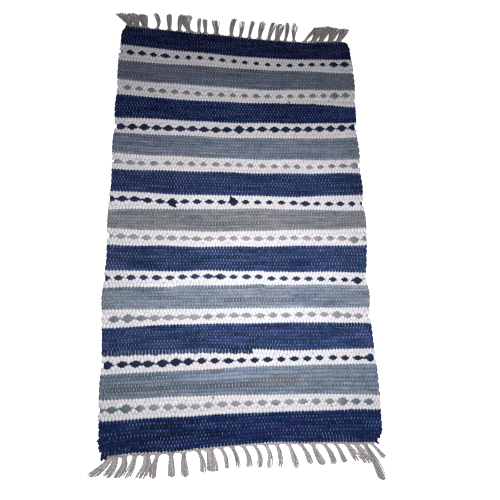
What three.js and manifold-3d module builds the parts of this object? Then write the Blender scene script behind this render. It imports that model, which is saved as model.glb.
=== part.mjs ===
// A rag-weave cotton dhurrie lying flat: one ribbed cloth and a warp fringe at each end.
// Millimetres. X runs across the rug, Y along its warp towards the far end, and Z is up.
import * as THREE from 'three';
import Module from 'manifold-3d';
import { mergeVertices } from 'three/addons/utils/BufferGeometryUtils.js';

const wasm = await Module();
wasm.setup();

// Driving sizes of the cloth
const HALF_WIDTH = 300; // from the middle to the line that each selvedge wanders about
const CREST_HEIGHT = 6.8; // top of a rag pick's back
const VALLEY_HEIGHT = 5.4; // top of the dip between two picks
const CREST_SPREAD = 0.5; // how much one pick's crest may be lower than another's
const WAIST_HEIGHT = 3; // where the selvedge stands out furthest
const FOOT_INSET = 1.2; // from the selvedge's widest line to the edge of the flat underside
const BACK_INSET = 2.6; // from that line to the start of the pick's flat back
const BACK_COLUMNS = 6; // steps across a plain pick's back
const TURN_OUT = 0.9; // how far a pick's turn stands out at the selvedge, and a dip goes in
const TURN_SPREAD = 1.2; // how unevenly the turns stand out
const CORNER_REACH = 28; // how far from an end the selvedge starts to draw in

// Driving sizes of the floats, the inlaid lens-shaped lozenges of the white stripes
const FLOAT_PITCH = 29;
const FLOAT_LENGTH = 20;
const FLOAT_HEIGHT = 7.2;
const FLOAT_SWELL = 1.8; // how far a float pushes its neighbours aside, and a gap lets them in
const FLOAT_PHASE = 13; // the place of one float in the first row, right of the middle
const GAP_HEIGHT = 5.1; // the top where the white picks close up between two floats
const FLOAT_MARGIN = 1; // the least from a float's point to the start of the selvedge's round

// Driving sizes of the fringes
const HEADING_GAP = 0.3;
const HEADING_WIDTH = 3.6;
const HEADING_HEIGHT = 4.4;
const STRAND_WIDTH = 1.5;
const STRAND_HEIGHT = 2.3;
const STRAND_PITCH = 2.15; // the closest that two strands lie
const STRAND_LEFT_PLAIN = 2.6; // of the tassel's tip for each strand
const STRANDS_LEAST = 3;
const STRANDS_MOST = 6;
const STRAND_SETS = 4; // steps along a strand
const TIP_TAPER = 0.7;
const TIP_SPREAD = 4; // how unevenly the tips are cut
const SLIVER = 0.03; // narrower faces, left where strands and heading join, are closed up

// The far edge's places at the left selvedge, the middle and the right selvedge
const FAR_EDGE = { left: 501, middle: 488, right: 495 };

// How far each corner draws in at the very end
const CORNERS = { far: { left: 12, right: 10 }, near: { left: 9, right: 17 } };

// The stripes from the far end to the near one. Each is a number of picks, beaten to a different
// length at the left, the middle and the right. leftOut and rightOut are how far the selvedge
// stands outside its line, and leftLift and rightLift how far a row of floats runs off its middle.
const STRIPES = table(
  ['colour', 'picks', 'left', 'middle', 'right', 'leftOut', 'rightOut', 'leftLift', 'rightLift'],
  [
    ['navy', 8, 51, 55, 53, -5, -2, 0, 0],
    ['whiteNavy', 5, 47, 36, 41, -2, 3, 3, 5],
    ['grey', 7, 52, 55, 49, -3, 3, 0, 0],
    ['whiteGrey', 5, 43, 40, 45, -3, 0, 0, 3],
    ['navy', 8, 59, 54, 47, 1, -1, 0, 0],
    ['whiteNavy', 5, 41, 42, 43, 0, -2, -4, 7],
    ['grey', 7, 50, 54, 58, 1, 2, 0, 0],
    ['whiteGrey', 5, 40, 37, 37, 0, -1, -2, 4],
    ['navy', 8, 53, 58, 57, -1, 1, 0, 0],
    ['whiteNavy', 5, 46, 34, 43, 1, 1, 4, 1],
    ['grey', 7, 43, 52, 40, 3, 4, 0, 0],
    ['whiteGrey', 5, 38, 37, 42, 2, 2, 1, -5],
    ['navy', 8, 58, 57, 66, 1, -2, 0, 0],
    ['whiteNavy', 5, 38, 32, 35, 2, -6, 3, -2],
    ['grey', 7, 49, 52, 48, 5, -3, 0, 0],
    ['whiteGrey', 5, 39, 33, 38, 2, -7, 0, -1],
    ['navy', 8, 54, 60, 54, -2, -3, 0, 0],
    ['whiteNavy', 5, 42, 35, 37, -4, -4, -2, 2],
    ['grey', 7, 49, 56, 65, 0, 4, 0, 0],
    ['whiteGrey', 5, 41, 37, 31, -2, 4, 1, 1],
    ['navy', 9, 67, 62, 66, -3, 3, 0, 0],
  ],
);
const FLOAT_PICK = 2; // the place of the float pick among the five of a white stripe
const HALF_STEPPED = [3, 4, 9]; // the rows of floats, from 1, that are set over by half a pitch

// The tassels of each end from left to right. at is the root, lean how far the tip lies to the
// right of it, reach how far out it lies, flare the width at the tip and bow how far the middle
// of the tassel bends to the right.
const TASSEL_COLUMNS = ['at', 'lean', 'reach', 'flare', 'bow'];
const FAR_TASSELS = table(TASSEL_COLUMNS, [
  [-272, -18, 38, 15, 3],
  [-254, -13, 42, 14, 2],
  [-236, -3, 44, 13, 2],
  [-208, -4, 46, 8, 4],
  [-176, -2, 48, 12, 0],
  [-151, 5, 50, 12, -2],
  [-123, -5, 50, 15, -7],
  [-101, 1, 47, 8, -1],
  [-85, -1, 44, 10, 0],
  [-56, -3, 44, 15, 0],
  [-18, 9, 53, 13, -2],
  [4, 8, 48, 12, 1],
  [28, 11, 51, 9, -1],
  [55, 12, 51, 13, -2],
  [79, 17, 51, 9, -1],
  [102, 13, 47, 10, -2],
  [123, 10, 53, 10, 2],
  [148, 2, 50, 9, -2],
  [175, 31, 42, 9, -1],
  [199, 23, 43, 12, -1],
  [218, 24, 46, 12, 0],
  [245, 18, 43, 13, 1],
  [265, 22, 38, 13, 3],
]);
const NEAR_TASSELS = table(TASSEL_COLUMNS, [
  [-275, -26, 33, 14, 5],
  [-263, -11, 40, 8, 5],
  [-246, -10, 39, 11, 6],
  [-222, -14, 39, 12, 2],
  [-201, -8, 46, 9, 6],
  [-177, -8, 43, 11, -4],
  [-151, 2, 42, 13, 0],
  [-125, 3, 45, 13, -1],
  [-97, 11, 37, 13, 4],
  [-73, 7, 39, 16, 1],
  [-50, 14, 43, 8, 4],
  [-27, 15, 43, 10, 3],
  [-3, 14, 44, 10, 5],
  [20, 12, 46, 9, 7],
  [45, 8, 47, 12, 6],
  [69, 7, 46, 10, 4],
  [95, 12, 46, 12, 2],
  [120, 21, 42, 9, 3],
  [147, 19, 43, 13, -1],
  [171, 20, 43, 13, 4],
  [197, 19, 40, 12, 1],
  [221, 24, 35, 11, 1],
  [243, 21, 42, 9, 2],
  [262, 34, 78, 10, 4],
  [277, 26, 32, 7, 1],
]);

function table(columns, rows) {
  return rows.map((row) => Object.fromEntries(columns.map((name, i) => [name, row[i]])));
}

// A number from 0 to 1 that is always the same for the same n: the rug's unevenness
function chance(n) {
  const wave = Math.sin(n * 12.9898 + 4.1414) * 43758.5453;
  return wave - Math.floor(wave);
}

// A value at x on the curve through its left, middle and right values
function bow(line, x) {
  const u = x / HALF_WIDTH;
  const tilt = (line.right - line.left) / 2;
  const sag = (line.right + line.left) / 2 - line.middle;
  return line.middle + tilt * u + sag * u * u;
}

function between(lineA, lineB, t) {
  const mix = (key) => lineA[key] * (1 - t) + lineB[key] * t;
  return { left: mix('left'), middle: mix('middle'), right: mix('right') };
}

// The far edge of each stripe, with the rug's near edge last
function stripeEdges() {
  const edges = [FAR_EDGE];
  for (const stripe of STRIPES) {
    const above = edges.at(-1);
    edges.push({
      left: above.left - stripe.left,
      middle: above.middle - stripe.middle,
      right: above.right - stripe.right,
    });
  }
  return edges;
}

const EDGES = stripeEdges();
const NEAR_EDGE = EDGES.at(-1);

// How far the selvedge stands out at y, eased from the middle of each stripe to the next
function selvedgeOut(y, key) {
  const middles = STRIPES.map((stripe, i) => (EDGES[i].middle + EDGES[i + 1].middle) / 2);
  if (y >= middles[0]) return STRIPES[0][key];
  for (let i = 1; i < middles.length; i += 1) {
    if (y >= middles[i]) {
      const t = THREE.MathUtils.smoothstep(middles[i - 1] - y, 0, middles[i - 1] - middles[i]);
      return STRIPES[i - 1][key] * (1 - t) + STRIPES[i][key] * t;
    }
  }
  return STRIPES.at(-1)[key];
}

function drawnIn(fromEnd, most) {
  const share = Math.max(0, 1 - Math.max(0, fromEnd) / CORNER_REACH);
  return most * share * share;
}

// How far out the selvedge of one side lies, without the turns of single picks
function selvedge(line, side) {
  const y = line[side];
  const atFar = drawnIn(FAR_EDGE[side] - y, CORNERS.far[side]);
  const atNear = drawnIn(y - NEAR_EDGE[side], CORNERS.near[side]);
  return HALF_WIDTH + selvedgeOut(y, `${side}Out`) - atFar - atNear;
}

// One set of points across the cloth: its selvedge points and a list of points along its back
function plainSet(line, height, turn, steps = BACK_COLUMNS) {
  const left = -selvedge(line, 'left') - turn.left;
  const right = selvedge(line, 'right') + turn.right;
  const start = left + BACK_INSET;
  const end = right - BACK_INSET;
  const back = [];
  for (let i = 0; i <= steps; i += 1) {
    const x = THREE.MathUtils.lerp(start, end, i / steps);
    back.push(new THREE.Vector3(x, bow(line, x), height));
  }
  return { line, left, right, back };
}

// The middles of a row's floats, as many as fit on a set's back
function floatPlaces(row, set) {
  const phase = FLOAT_PHASE - (HALF_STEPPED.includes(row) ? FLOAT_PITCH / 2 : 0);
  const room = FLOAT_LENGTH / 2 + FLOAT_MARGIN;
  const first = Math.ceil((set.back[0].x + room - phase) / FLOAT_PITCH);
  const last = Math.floor((set.back.at(-1).x - room - phase) / FLOAT_PITCH);
  const places = [];
  for (let i = first; i <= last; i += 1) places.push(phase + i * FLOAT_PITCH);
  return places;
}

// Replaces the plain steps of a set's back by points at each float. at is a list of
// [distance from the float's centre, shift along the warp, height].
function raiseFloats(set, places, at) {
  const inner = places.flatMap((place) =>
    at.map(([aside, shift, height]) => {
      const x = place + aside;
      return new THREE.Vector3(x, bow(set.line, x) + shift, height);
    }),
  );
  set.back = [set.back[0], ...inner, set.back.at(-1)];
}

// Every set of the cloth from the far end to the near one: a dip, then a crest and a dip a pick
function clothSets() {
  const turnOf = (n, out) => ({
    left: out + (chance(n) - 0.5) * TURN_SPREAD,
    right: out + (chance(n + 0.5) - 0.5) * TURN_SPREAD,
  });
  const sets = [plainSet(FAR_EDGE, VALLEY_HEIGHT, turnOf(0, -TURN_OUT))];
  let floatRow = 0;
  STRIPES.forEach((stripe, i) => {
    const isFloated = stripe.colour.startsWith('white');
    if (isFloated) floatRow += 1;
    for (let pick = 0; pick < stripe.picks; pick += 1) {
      const n = sets.length;
      const crestHeight = CREST_HEIGHT - chance(n) * CREST_SPREAD;
      sets.push(plainSet(stripeLine(i, pick + 0.5), crestHeight, turnOf(n, TURN_OUT)));
      sets.push(plainSet(stripeLine(i, pick + 1), VALLEY_HEIGHT, turnOf(n + 1, -TURN_OUT)));
      if (isFloated && pick === FLOAT_PICK) raiseRow(floatRow, ...sets.slice(-3));
    }
  });
  return sets;
}

// The line across the rug so many picks down a stripe, moved towards a lifted row of floats
function stripeLine(i, picksDown) {
  const stripe = STRIPES[i];
  const t = picksDown / stripe.picks;
  const line = between(EDGES[i], EDGES[i + 1], t);
  const share = 4 * t * (1 - t);
  line.left += stripe.leftLift * share;
  line.right += stripe.rightLift * share;
  return line;
}

// Raises a row of floats on a pick, whose dips give way to each float and close up beside it
function raiseRow(row, above, crest, below) {
  const places = floatPlaces(row, crest);
  const half = FLOAT_LENGTH / 2;
  const beside = FLOAT_PITCH / 2;
  raiseFloats(above, places, [[0, FLOAT_SWELL, VALLEY_HEIGHT], [beside, -FLOAT_SWELL, GAP_HEIGHT]]);
  raiseFloats(crest, places, [[-half, 0, GAP_HEIGHT], [0, 0, FLOAT_HEIGHT], [half, 0, GAP_HEIGHT]]);
  raiseFloats(below, places, [[0, -FLOAT_SWELL, VALLEY_HEIGHT], [beside, FLOAT_SWELL, GAP_HEIGHT]]);
}

// Adds faces between two lists of corner numbers that both run along x
function stitch(faces, corners, a, b) {
  let i = 0;
  let j = 0;
  while (i < a.length - 1 || j < b.length - 1) {
    const nextA = i < a.length - 1 ? corners[a[i + 1]].x : Infinity;
    const nextB = j < b.length - 1 ? corners[b[j + 1]].x : Infinity;
    if (nextA <= nextB) {
      faces.push([a[i], b[j], a[i + 1]]);
      i += 1;
    } else {
      faces.push([a[i], b[j], b[j + 1]]);
      j += 1;
    }
  }
}

function flip(faces) {
  return faces.map(([a, b, c]) => [a, c, b]);
}

function geometryOf(corners, faces) {
  const geometry = new THREE.BufferGeometry();
  const places = corners.flatMap((p) => p.toArray());
  geometry.setAttribute('position', new THREE.Float32BufferAttribute(places, 3));
  geometry.setIndex(faces.flat());
  return geometry;
}

// The cloth: a ribbed back on the sets, rounded selvedges, upright ends and a flat underside
function clothGeometry(sets) {
  const corners = [];
  const faces = [];
  const add = (x, y, z) => corners.push(new THREE.Vector3(x, y, z)) - 1;
  const rings = sets.map((set) => ({
    back: set.back.map((p) => add(p.x, p.y, p.z)),
    waist: [set.left, set.right].map((x) => add(x, bow(set.line, x), WAIST_HEIGHT)),
    foot: [set.left + FOOT_INSET, set.right - FOOT_INSET].map((x) => add(x, bow(set.line, x), 0)),
  }));
  const wall = (upperA, upperB, lowerB, lowerA) => [[upperA, lowerA, lowerB], [upperA, lowerB, upperB]];
  for (let i = 1; i < rings.length; i += 1) {
    const [a, b] = [rings[i - 1], rings[i]];
    stitch(faces, corners, a.back, b.back);
    faces.push(...wall(a.back[0], b.back[0], b.waist[0], a.waist[0]));
    faces.push(...wall(a.waist[0], b.waist[0], b.foot[0], a.foot[0]));
    faces.push(...flip(wall(a.back.at(-1), b.back.at(-1), b.waist[1], a.waist[1])));
    faces.push(...flip(wall(a.waist[1], b.waist[1], b.foot[1], a.foot[1])));
  }
  const soles = [rings[0], rings.at(-1)].map((ring) => {
    const under = ring.back.slice(1, -1).map((k) => add(corners[k].x, corners[k].y, 0));
    const sole = [ring.foot[0], ...under, ring.foot[1]];
    const end = [];
    stitch(end, corners, [ring.waist[0], ...ring.back, ring.waist[1]], sole);
    faces.push(...(ring === rings[0] ? flip(end) : end));
    return sole;
  });
  const outline = [
    ...rings.map((ring) => ring.foot[0]),
    ...soles[1].slice(1, -1),
    ...rings.map((ring) => ring.foot[1]).reverse(),
    ...soles[0].slice(1, -1).reverse(),
  ];
  const flat = outline.map((k) => new THREE.Vector2(corners[k].x, corners[k].y));
  const underside = THREE.ShapeUtils.triangulateShape(flat, []).map((face) => face.map((k) => outline[k]));
  faces.push(...flip(underside));
  return geometryOf(corners, faces);
}

// The twisted heading that holds the warp ends, a narrow bar just off the cloth's end
function headingGeometry(set, outward) {
  const inside = set.back.slice(1, -1).map((p) => p.x);
  const across = [set.left + FOOT_INSET, ...inside, set.right - FOOT_INSET];
  const edge = (x, off) => new THREE.Vector2(x, bow(set.line, x) + outward * off);
  const inner = across.map((x) => edge(x, HEADING_GAP));
  const outer = across.map((x) => edge(x, HEADING_GAP + HEADING_WIDTH)).reverse();
  const shape = new THREE.Shape([...inner, ...outer]);
  return new THREE.ExtrudeGeometry(shape, { depth: HEADING_HEIGHT, bevelEnabled: false });
}

// One strand: a three-sided yarn with its flat side on the floor, from its root to its cut tip
function strandGeometry(path) {
  const corners = [];
  const faces = [];
  path.forEach((p, i) => {
    const ahead = path[Math.min(i + 1, path.length - 1)];
    const behind = path[Math.max(i - 1, 0)];
    const side = new THREE.Vector2(ahead.y - behind.y, behind.x - ahead.x).normalize();
    const size = i === path.length - 1 ? TIP_TAPER : 1;
    const half = (STRAND_WIDTH / 2) * size;
    corners.push(new THREE.Vector3(p.x + side.x * half, p.y + side.y * half, 0));
    corners.push(new THREE.Vector3(p.x, p.y, STRAND_HEIGHT * size));
    corners.push(new THREE.Vector3(p.x - side.x * half, p.y - side.y * half, 0));
  });
  const last = corners.length - 3;
  for (let i = 0; i < last; i += 3) {
    for (let k = 0; k < 3; k += 1) {
      const [a, b] = [i + k, i + ((k + 1) % 3)];
      faces.push([a, b + 3, b], [a, a + 3, b + 3]);
    }
  }
  faces.push([0, 1, 2], [last, last + 2, last + 1]);
  return geometryOf(corners, faces);
}

// The middle lines of a tassel's strands, close at the root and spread at the tip
function strandPaths(tassel, line, outward) {
  const lean = Math.atan2(tassel.lean, tassel.reach);
  const wanted = Math.round(tassel.flare / STRAND_LEFT_PLAIN);
  const count = THREE.MathUtils.clamp(wanted, STRANDS_LEAST, STRANDS_MOST);
  const firstAside = tassel.lean / STRAND_SETS + tassel.bow * Math.sin(Math.PI / STRAND_SETS);
  const rootLean = Math.atan2(firstAside, tassel.reach / STRAND_SETS);
  const rootPitch = STRAND_PITCH / Math.cos(rootLean);
  const tipPitch = Math.max(STRAND_PITCH, (tassel.flare - STRAND_WIDTH) / (count - 1));
  const rootIn = HEADING_GAP + HEADING_WIDTH / 2;
  const paths = [];
  for (let k = 0; k < count; k += 1) {
    const place = k - (count - 1) / 2;
    const rootX = tassel.at + place * rootPitch;
    const root = new THREE.Vector2(rootX, bow(line, rootX) + outward * rootIn);
    const reach = tassel.reach - chance(tassel.at + k) * TIP_SPREAD;
    const tip = new THREE.Vector2(
      tassel.at + tassel.lean + place * tipPitch * Math.cos(lean),
      bow(line, tassel.at) + outward * (reach - place * tipPitch * Math.sin(lean)),
    );
    const path = [];
    for (let i = 0; i <= STRAND_SETS; i += 1) {
      const t = i / STRAND_SETS;
      const p = new THREE.Vector2().lerpVectors(root, tip, t);
      p.x += tassel.bow * Math.sin(Math.PI * t);
      path.push(p);
    }
    paths.push(path);
  }
  return paths;
}

function solidOf(geometry) {
  geometry.deleteAttribute('normal');
  geometry.deleteAttribute('uv');
  const merged = mergeVertices(geometry, 1e-4);
  const vertProperties = new Float32Array(merged.attributes.position.array);
  const triVerts = new Uint32Array(merged.index.array);
  return new wasm.Manifold(new wasm.Mesh({ numProp: 3, vertProperties, triVerts }));
}

function geometryOfSolid(solid) {
  const mesh = solid.getMesh();
  const geometry = new THREE.BufferGeometry();
  geometry.setAttribute('position', new THREE.BufferAttribute(new Float32Array(mesh.vertProperties), 3));
  geometry.setIndex([...mesh.triVerts]);
  return geometry;
}

// A fringe: the heading with every strand's root fused into it
function fringeGeometry(set, tassels, outward) {
  const paths = tassels.flatMap((tassel) => strandPaths(tassel, set.line, outward));
  const strands = wasm.Manifold.union(paths.map((path) => solidOf(strandGeometry(path))));
  const fringe = solidOf(headingGeometry(set, outward)).add(strands);
  return geometryOfSolid(fringe.simplify(SLIVER));
}

const cotton = new THREE.MeshStandardMaterial({ color: 0x49577c, roughness: 0.95, metalness: 0 });
const warpYarn = new THREE.MeshStandardMaterial({ color: 0x9a9088, roughness: 0.95, metalness: 0 });

const sets = clothSets();
const cloth = new THREE.Mesh(clothGeometry(sets), cotton);
cloth.name = 'cloth';
const fringeFar = new THREE.Mesh(fringeGeometry(sets[0], FAR_TASSELS, 1), warpYarn);
fringeFar.name = 'fringe_far';
const fringeNear = new THREE.Mesh(fringeGeometry(sets.at(-1), NEAR_TASSELS, -1), warpYarn);
fringeNear.name = 'fringe_near';

// The rug stands on the floor with its origin under the middle of its outline
const rug = new THREE.Group();
rug.add(cloth, fringeFar, fringeNear);
const outline = new THREE.Box3().setFromObject(rug);
const middle = outline.getCenter(new THREE.Vector3());
rug.position.set(-middle.x, -middle.y, -outline.min.z);

export default rug;
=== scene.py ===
# %% [markdown]
# # A rag-weave dhurrie, woven pick by pick
#
# The rug is a flat cotton rag weave of about 60 x 100 cm. Torn strips of cloth, the picks, cross
# 165 thin cotton ends, the warp. A pick passes over one warp end and under the next, and the
# following pick does the opposite, so the pale warp shows as short dashes in a brick pattern.
# It could be one flat sheet with a picture of a weave on it. Here every pick and every warp end
# is a strip of its own instead, because the borders between the stripes, the selvedges and the
# light between the picks then come out right from any side.

import math

import bpy
import numpy as np
from mathutils import Euler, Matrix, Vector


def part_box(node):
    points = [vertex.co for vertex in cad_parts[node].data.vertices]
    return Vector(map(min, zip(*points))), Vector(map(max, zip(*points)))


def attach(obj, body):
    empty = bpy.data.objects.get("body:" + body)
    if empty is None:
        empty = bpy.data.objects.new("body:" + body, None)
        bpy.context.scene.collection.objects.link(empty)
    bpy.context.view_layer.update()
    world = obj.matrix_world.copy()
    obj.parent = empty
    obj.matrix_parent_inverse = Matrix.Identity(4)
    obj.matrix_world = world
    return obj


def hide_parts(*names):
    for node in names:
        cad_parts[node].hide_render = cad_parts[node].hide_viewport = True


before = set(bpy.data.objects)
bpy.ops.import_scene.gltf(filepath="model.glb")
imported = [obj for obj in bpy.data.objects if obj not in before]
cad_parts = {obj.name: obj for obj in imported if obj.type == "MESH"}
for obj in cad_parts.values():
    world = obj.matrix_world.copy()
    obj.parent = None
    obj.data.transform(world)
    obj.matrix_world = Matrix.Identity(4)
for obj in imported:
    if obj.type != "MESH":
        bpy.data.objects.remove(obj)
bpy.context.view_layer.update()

# %% [markdown]
# ## Measures
#
# All the tables are in millimetres, from the rug's middle: x runs to the right along the picks,
# y to the far end and z up. A table is a row of column names and rows of values under them.
# What is uneven by chance is seeded, so the rug comes out the same each time.

# %% Measures, tables and chance
MM = 0.001
SEEDS = {"lozenges": 100, "floats": 500, "drift": 700, "picks": 1000, "ends": 3000}
PICKS_APART = 20


def table(columns, rows):
    """Rows of values as dictionaries under the names of their columns."""
    return [dict(zip(columns.split(), row)) for row in rows]


def chance_for(kind, number):
    """Seeded chance for one thing of a kind, so that a change to one leaves the others alone."""
    return np.random.default_rng(SEEDS[kind] + number)


# %% [markdown]
# ## The stripes
#
# A weaver counts picks. Each row below is one stripe from the far end to the near one: its
# colour, its picks, how far it is beaten together at the left, the middle and the right in
# millimetres, how far its selvedges stand out, and how far its row of lozenges runs off its
# middle at either side.

# %% Stripe table
HALF_WIDTH = 300
FAR_EDGE = np.array([501.0, 488.0, 495.0])
CORNER_REACH = 28
CORNERS_FAR = (12, 10)
CORNERS_NEAR = (9, 17)
STRIPES = table(
    "colour picks left middle right left_out right_out left_lift right_lift",
    [
        ("navy", 8, 51, 55, 53, -5, -0.5, 0, 0),
        ("white_navy", 5, 47, 36, 41, -1, 4, 3, 5),
        ("grey", 7, 52, 55, 49, -1, 5.5, 0, 0),
        ("white_grey", 5, 43, 40, 45, -2, 3, 0, 3),
        ("navy", 8, 59, 54, 47, 1, 2, 0, 0),
        ("white_navy", 5, 41, 42, 43, -1, 0.5, -4, 7),
        ("grey", 7, 50, 54, 58, 2, 4, 0, 0),
        ("white_grey", 5, 40, 37, 37, 0.5, 1.5, -2, 4),
        ("navy", 8, 53, 58, 57, -0.5, 5, 0, 0),
        ("white_navy", 5, 46, 34, 43, 3, 2.5, 4, 1),
        ("grey", 7, 43, 52, 40, 3.5, 7, 0, 0),
        ("white_grey", 5, 38, 37, 42, 2, 6, 1, -5),
        ("navy", 8, 58, 57, 66, 1, 0.5, 0, 0),
        ("white_navy", 5, 38, 32, 35, 4, -5, 3, -2),
        ("grey", 7, 49, 52, 48, 6.5, 1.5, 0, 0),
        ("white_grey", 5, 39, 33, 38, 4, -2.5, 0, -1),
        ("navy", 8, 54, 60, 54, 1, 1, 0, 0),
        ("white_navy", 5, 42, 35, 37, -1, 3, -2, 2),
        ("grey", 7, 49, 56, 65, 1, 6.5, 0, 0),
        ("white_grey", 5, 41, 37, 31, 0, 7, 1, 1),
        ("navy", 9, 67, 62, 66, -3, 6, 0, 0),
    ],
)
# The pick of a white stripe that floats as lozenges.
FLOAT_PICK = 2

edges = [FAR_EDGE]
for stripe in STRIPES:
    beaten = np.array([stripe["left"], stripe["middle"], stripe["right"]], float)
    edges.append(edges[-1] - beaten)
print("stripes:", len(STRIPES), "picks:", sum(s["picks"] for s in STRIPES))

# %% [markdown]
# ## Lines across the rug
#
# No line of a hand-beaten rug is straight. Each one is a shallow curve through three measured
# places, and the selvedge wanders from stripe to stripe and draws in at the corners. All pieces
# take their places from these few functions, so the picks, the warp and the fringe agree.

# %% Curved lines and selvedges
def bow(line, x):
    """The value at x of a curve given at the left selvedge, the middle and the right selvedge."""
    left, middle, right = line
    u = np.asarray(x, float) / HALF_WIDTH
    return middle + (right - left) / 2 * u + ((right + left) / 2 - middle) * u * u


def ease(t):
    """Goes smoothly from 0 to 1 as t does."""
    t = np.clip(t, 0, 1)
    return t * t * (3 - 2 * t)


def line_at(i, t):
    """The line that lies t of the way down stripe i, at the left, the middle and the right."""
    return edges[i] * (1 - t) + edges[i + 1] * t


stripe_middles = [(a[1] + b[1]) / 2 for a, b in zip(edges, edges[1:])]


def wander(y, key):
    """How far the selvedge stands out at y, eased from one stripe's middle to the next."""
    values = [s[key] for s in STRIPES]
    if y >= stripe_middles[0]:
        return values[0]
    for above, below, first, second in zip(stripe_middles, stripe_middles[1:], values, values[1:]):
        if y >= below:
            return first + (second - first) * ease((above - y) / (above - below))
    return values[-1]


def selvedge(line, side):
    """The distance of the left (0) or right (1) selvedge from the rug's middle."""
    y = line[2 * side]
    from_far = max(FAR_EDGE[2 * side] - y, 0)
    from_near = max(y - edges[-1][2 * side], 0)
    corner = CORNERS_FAR[side] * max(0, 1 - from_far / CORNER_REACH) ** 2
    corner += CORNERS_NEAR[side] * max(0, 1 - from_near / CORNER_REACH) ** 2
    return HALF_WIDTH + wander(y, ("left_out", "right_out")[side]) - corner


# %% [markdown]
# The 165 warp ends are evenly spaced but for a slight crowding near the middle. Towards
# the sides they follow the selvedges in and out.

# %% Warp places
ENDS = 165
END_INSET = 5.4
CROWDING = 2.2
CROWD_WIDTH = 220
FOLLOW_FROM = 100
end_rest = np.linspace(-HALF_WIDTH + END_INSET, HALF_WIDTH - END_INSET, ENDS)
end_rest += CROWDING * ((end_rest / HALF_WIDTH) ** 2 - 1) * np.exp(-((end_rest / CROWD_WIDTH) ** 2))
right_share = np.clip((end_rest + FOLLOW_FROM) / (HALF_WIDTH + FOLLOW_FROM), 0, 1) ** 3
left_share = np.clip((FOLLOW_FROM - end_rest) / (HALF_WIDTH + FOLLOW_FROM), 0, 1) ** 3


def warp_places(line):
    """Where the warp ends cross a line: they follow the selvedges near the sides."""
    out_left = selvedge(line, 0) - HALF_WIDTH
    out_right = selvedge(line, 1) - HALF_WIDTH
    return end_rest + out_right * right_share - out_left * left_share


left_edge = -selvedge(FAR_EDGE, 0)
cloth_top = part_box("cloth")[1]
far_y = max(bow(FAR_EDGE, left_edge), bow(FAR_EDGE, selvedge(FAR_EDGE, 1)))
# From the rug's own middle, which the tables use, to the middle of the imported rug.
SHIFT = np.array([0.33, cloth_top.y / MM - far_y, 0])
print("far edge moved by", SHIFT.round(2), "mm")
print("warp ends every", round(end_rest[1] - end_rest[0], 2), "mm")

# %% [markdown]
# ## The camera
#
# The photo was taken from above, a little towards the near left of the middle and tilted by
# a few degrees, which makes the rug look wider at its near end. The camera was fitted to the
# rug's corners and stripe borders.

# %% Camera
SENSOR_WIDTH = 36
FOCAL_LENGTH = 26.35
CAMERA_PLACE = np.array([-69.85, -232.545, 833.6])
CAMERA_TILT = [math.radians(angle) for angle in (10.75217, -6.10384, 0.10682)]
CAMERA_ORDER = "YXZ"

camera_data = bpy.data.cameras.new("overhead_camera")
camera_data.sensor_width = SENSOR_WIDTH
camera_data.lens = FOCAL_LENGTH
camera_data.clip_start = 0.05
camera_data.clip_end = 20
camera = bpy.data.objects.new("overhead_camera", camera_data)
camera.location = (CAMERA_PLACE + SHIFT) * MM
camera.rotation_mode = CAMERA_ORDER
camera.rotation_euler = Euler(CAMERA_TILT, CAMERA_ORDER)
bpy.context.scene.collection.objects.link(camera)
bpy.context.scene.camera = camera
print("camera, mm above the floor:", round(camera.location.z / MM, 1))

# %% [markdown]
# ## Strips and yarns as tubes
#
# A strip of rag or a yarn is a tube whose width and height change along its path. Curves with a
# bevel could do this, but then each ring of the tube could not have its own width and height.
# So the rings are worked out as arrays of points and joined into one mesh for each group of
# strips. Each point keeps how far along its strip it lies, how far round it, and a number that
# is its strip's own, and the materials use these for streaks and patches that run along the rag.

# %% Rings of a tube
def ring_points(path, wide, high, sides, turn=0.0):
    """Corner points round a path. The first corner is under the tube, so its seam is hidden."""
    ahead = np.gradient(path, axis=0)
    ahead /= np.linalg.norm(ahead, axis=1, keepdims=True)
    side = np.stack([-ahead[:, 1], ahead[:, 0], np.zeros(len(path))], 1)
    side /= np.linalg.norm(side, axis=1, keepdims=True)
    above = np.cross(ahead, side)
    angles = (np.arange(sides) + 0.5) / sides * 2 * np.pi - np.pi / 2
    angles = angles[None, :] + np.broadcast_to(turn, len(path))[:, None]
    across = np.cos(angles) * wide[:, None]
    upward = np.sin(angles) * high[:, None]
    return path[:, None] + side[:, None] * across[..., None] + above[:, None] * upward[..., None]


def tube(rings, along, seed, pressed=0.0, stain=(0, 0, 0, 0)):
    """One tube: its rings, how far along the strip each is, its own number, how much painted
    shade its colour gets, and any stain of another dye as red, green, blue and strength."""
    n = len(along)
    return {
        "rings": rings,
        "along": along,
        "seed": np.full(n, seed),
        "pressed": np.broadcast_to(pressed, n),
        "stain": np.broadcast_to(np.asarray(stain, float), (n, 4)),
    }


# %% [markdown]
# Every tube gets its own level band of the UV map, with its two caps as small discs at the ends
# of the band. Nothing overlaps, so the finish can also be baked to a picture by whoever needs it.

# %% UV bands
UV_EDGE = 0.012
BAND_START = 0.08
BAND_FILL = 0.84
CAP_SIZE = 0.003


def side_uvs(along, i, k, low, step):
    """UVs of the quads between ring i and the next, at side k."""
    place = UV_EDGE + (1 - 3 * UV_EDGE) * (along - along[0]) / np.ptp(along)
    u = np.stack([place[i], place[i], place[i + 1], place[i + 1]], -1)
    v = np.stack([low + k * step, low + (k + 1) * step, low + (k + 1) * step, low + k * step], -1)
    return np.stack([u, v], -1).reshape(-1, 2)


def cap_uvs(cap, sides, is_start, low, step):
    """UVs of a tube's cap: a small disc at the start or the end of its band."""
    angle = cap / sides * 2 * np.pi
    middle = UV_EDGE * 0.5 if is_start else 1 - UV_EDGE
    return np.stack([middle + CAP_SIZE * np.cos(angle), low + 3 * step + step * np.sin(angle)], -1)


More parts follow.
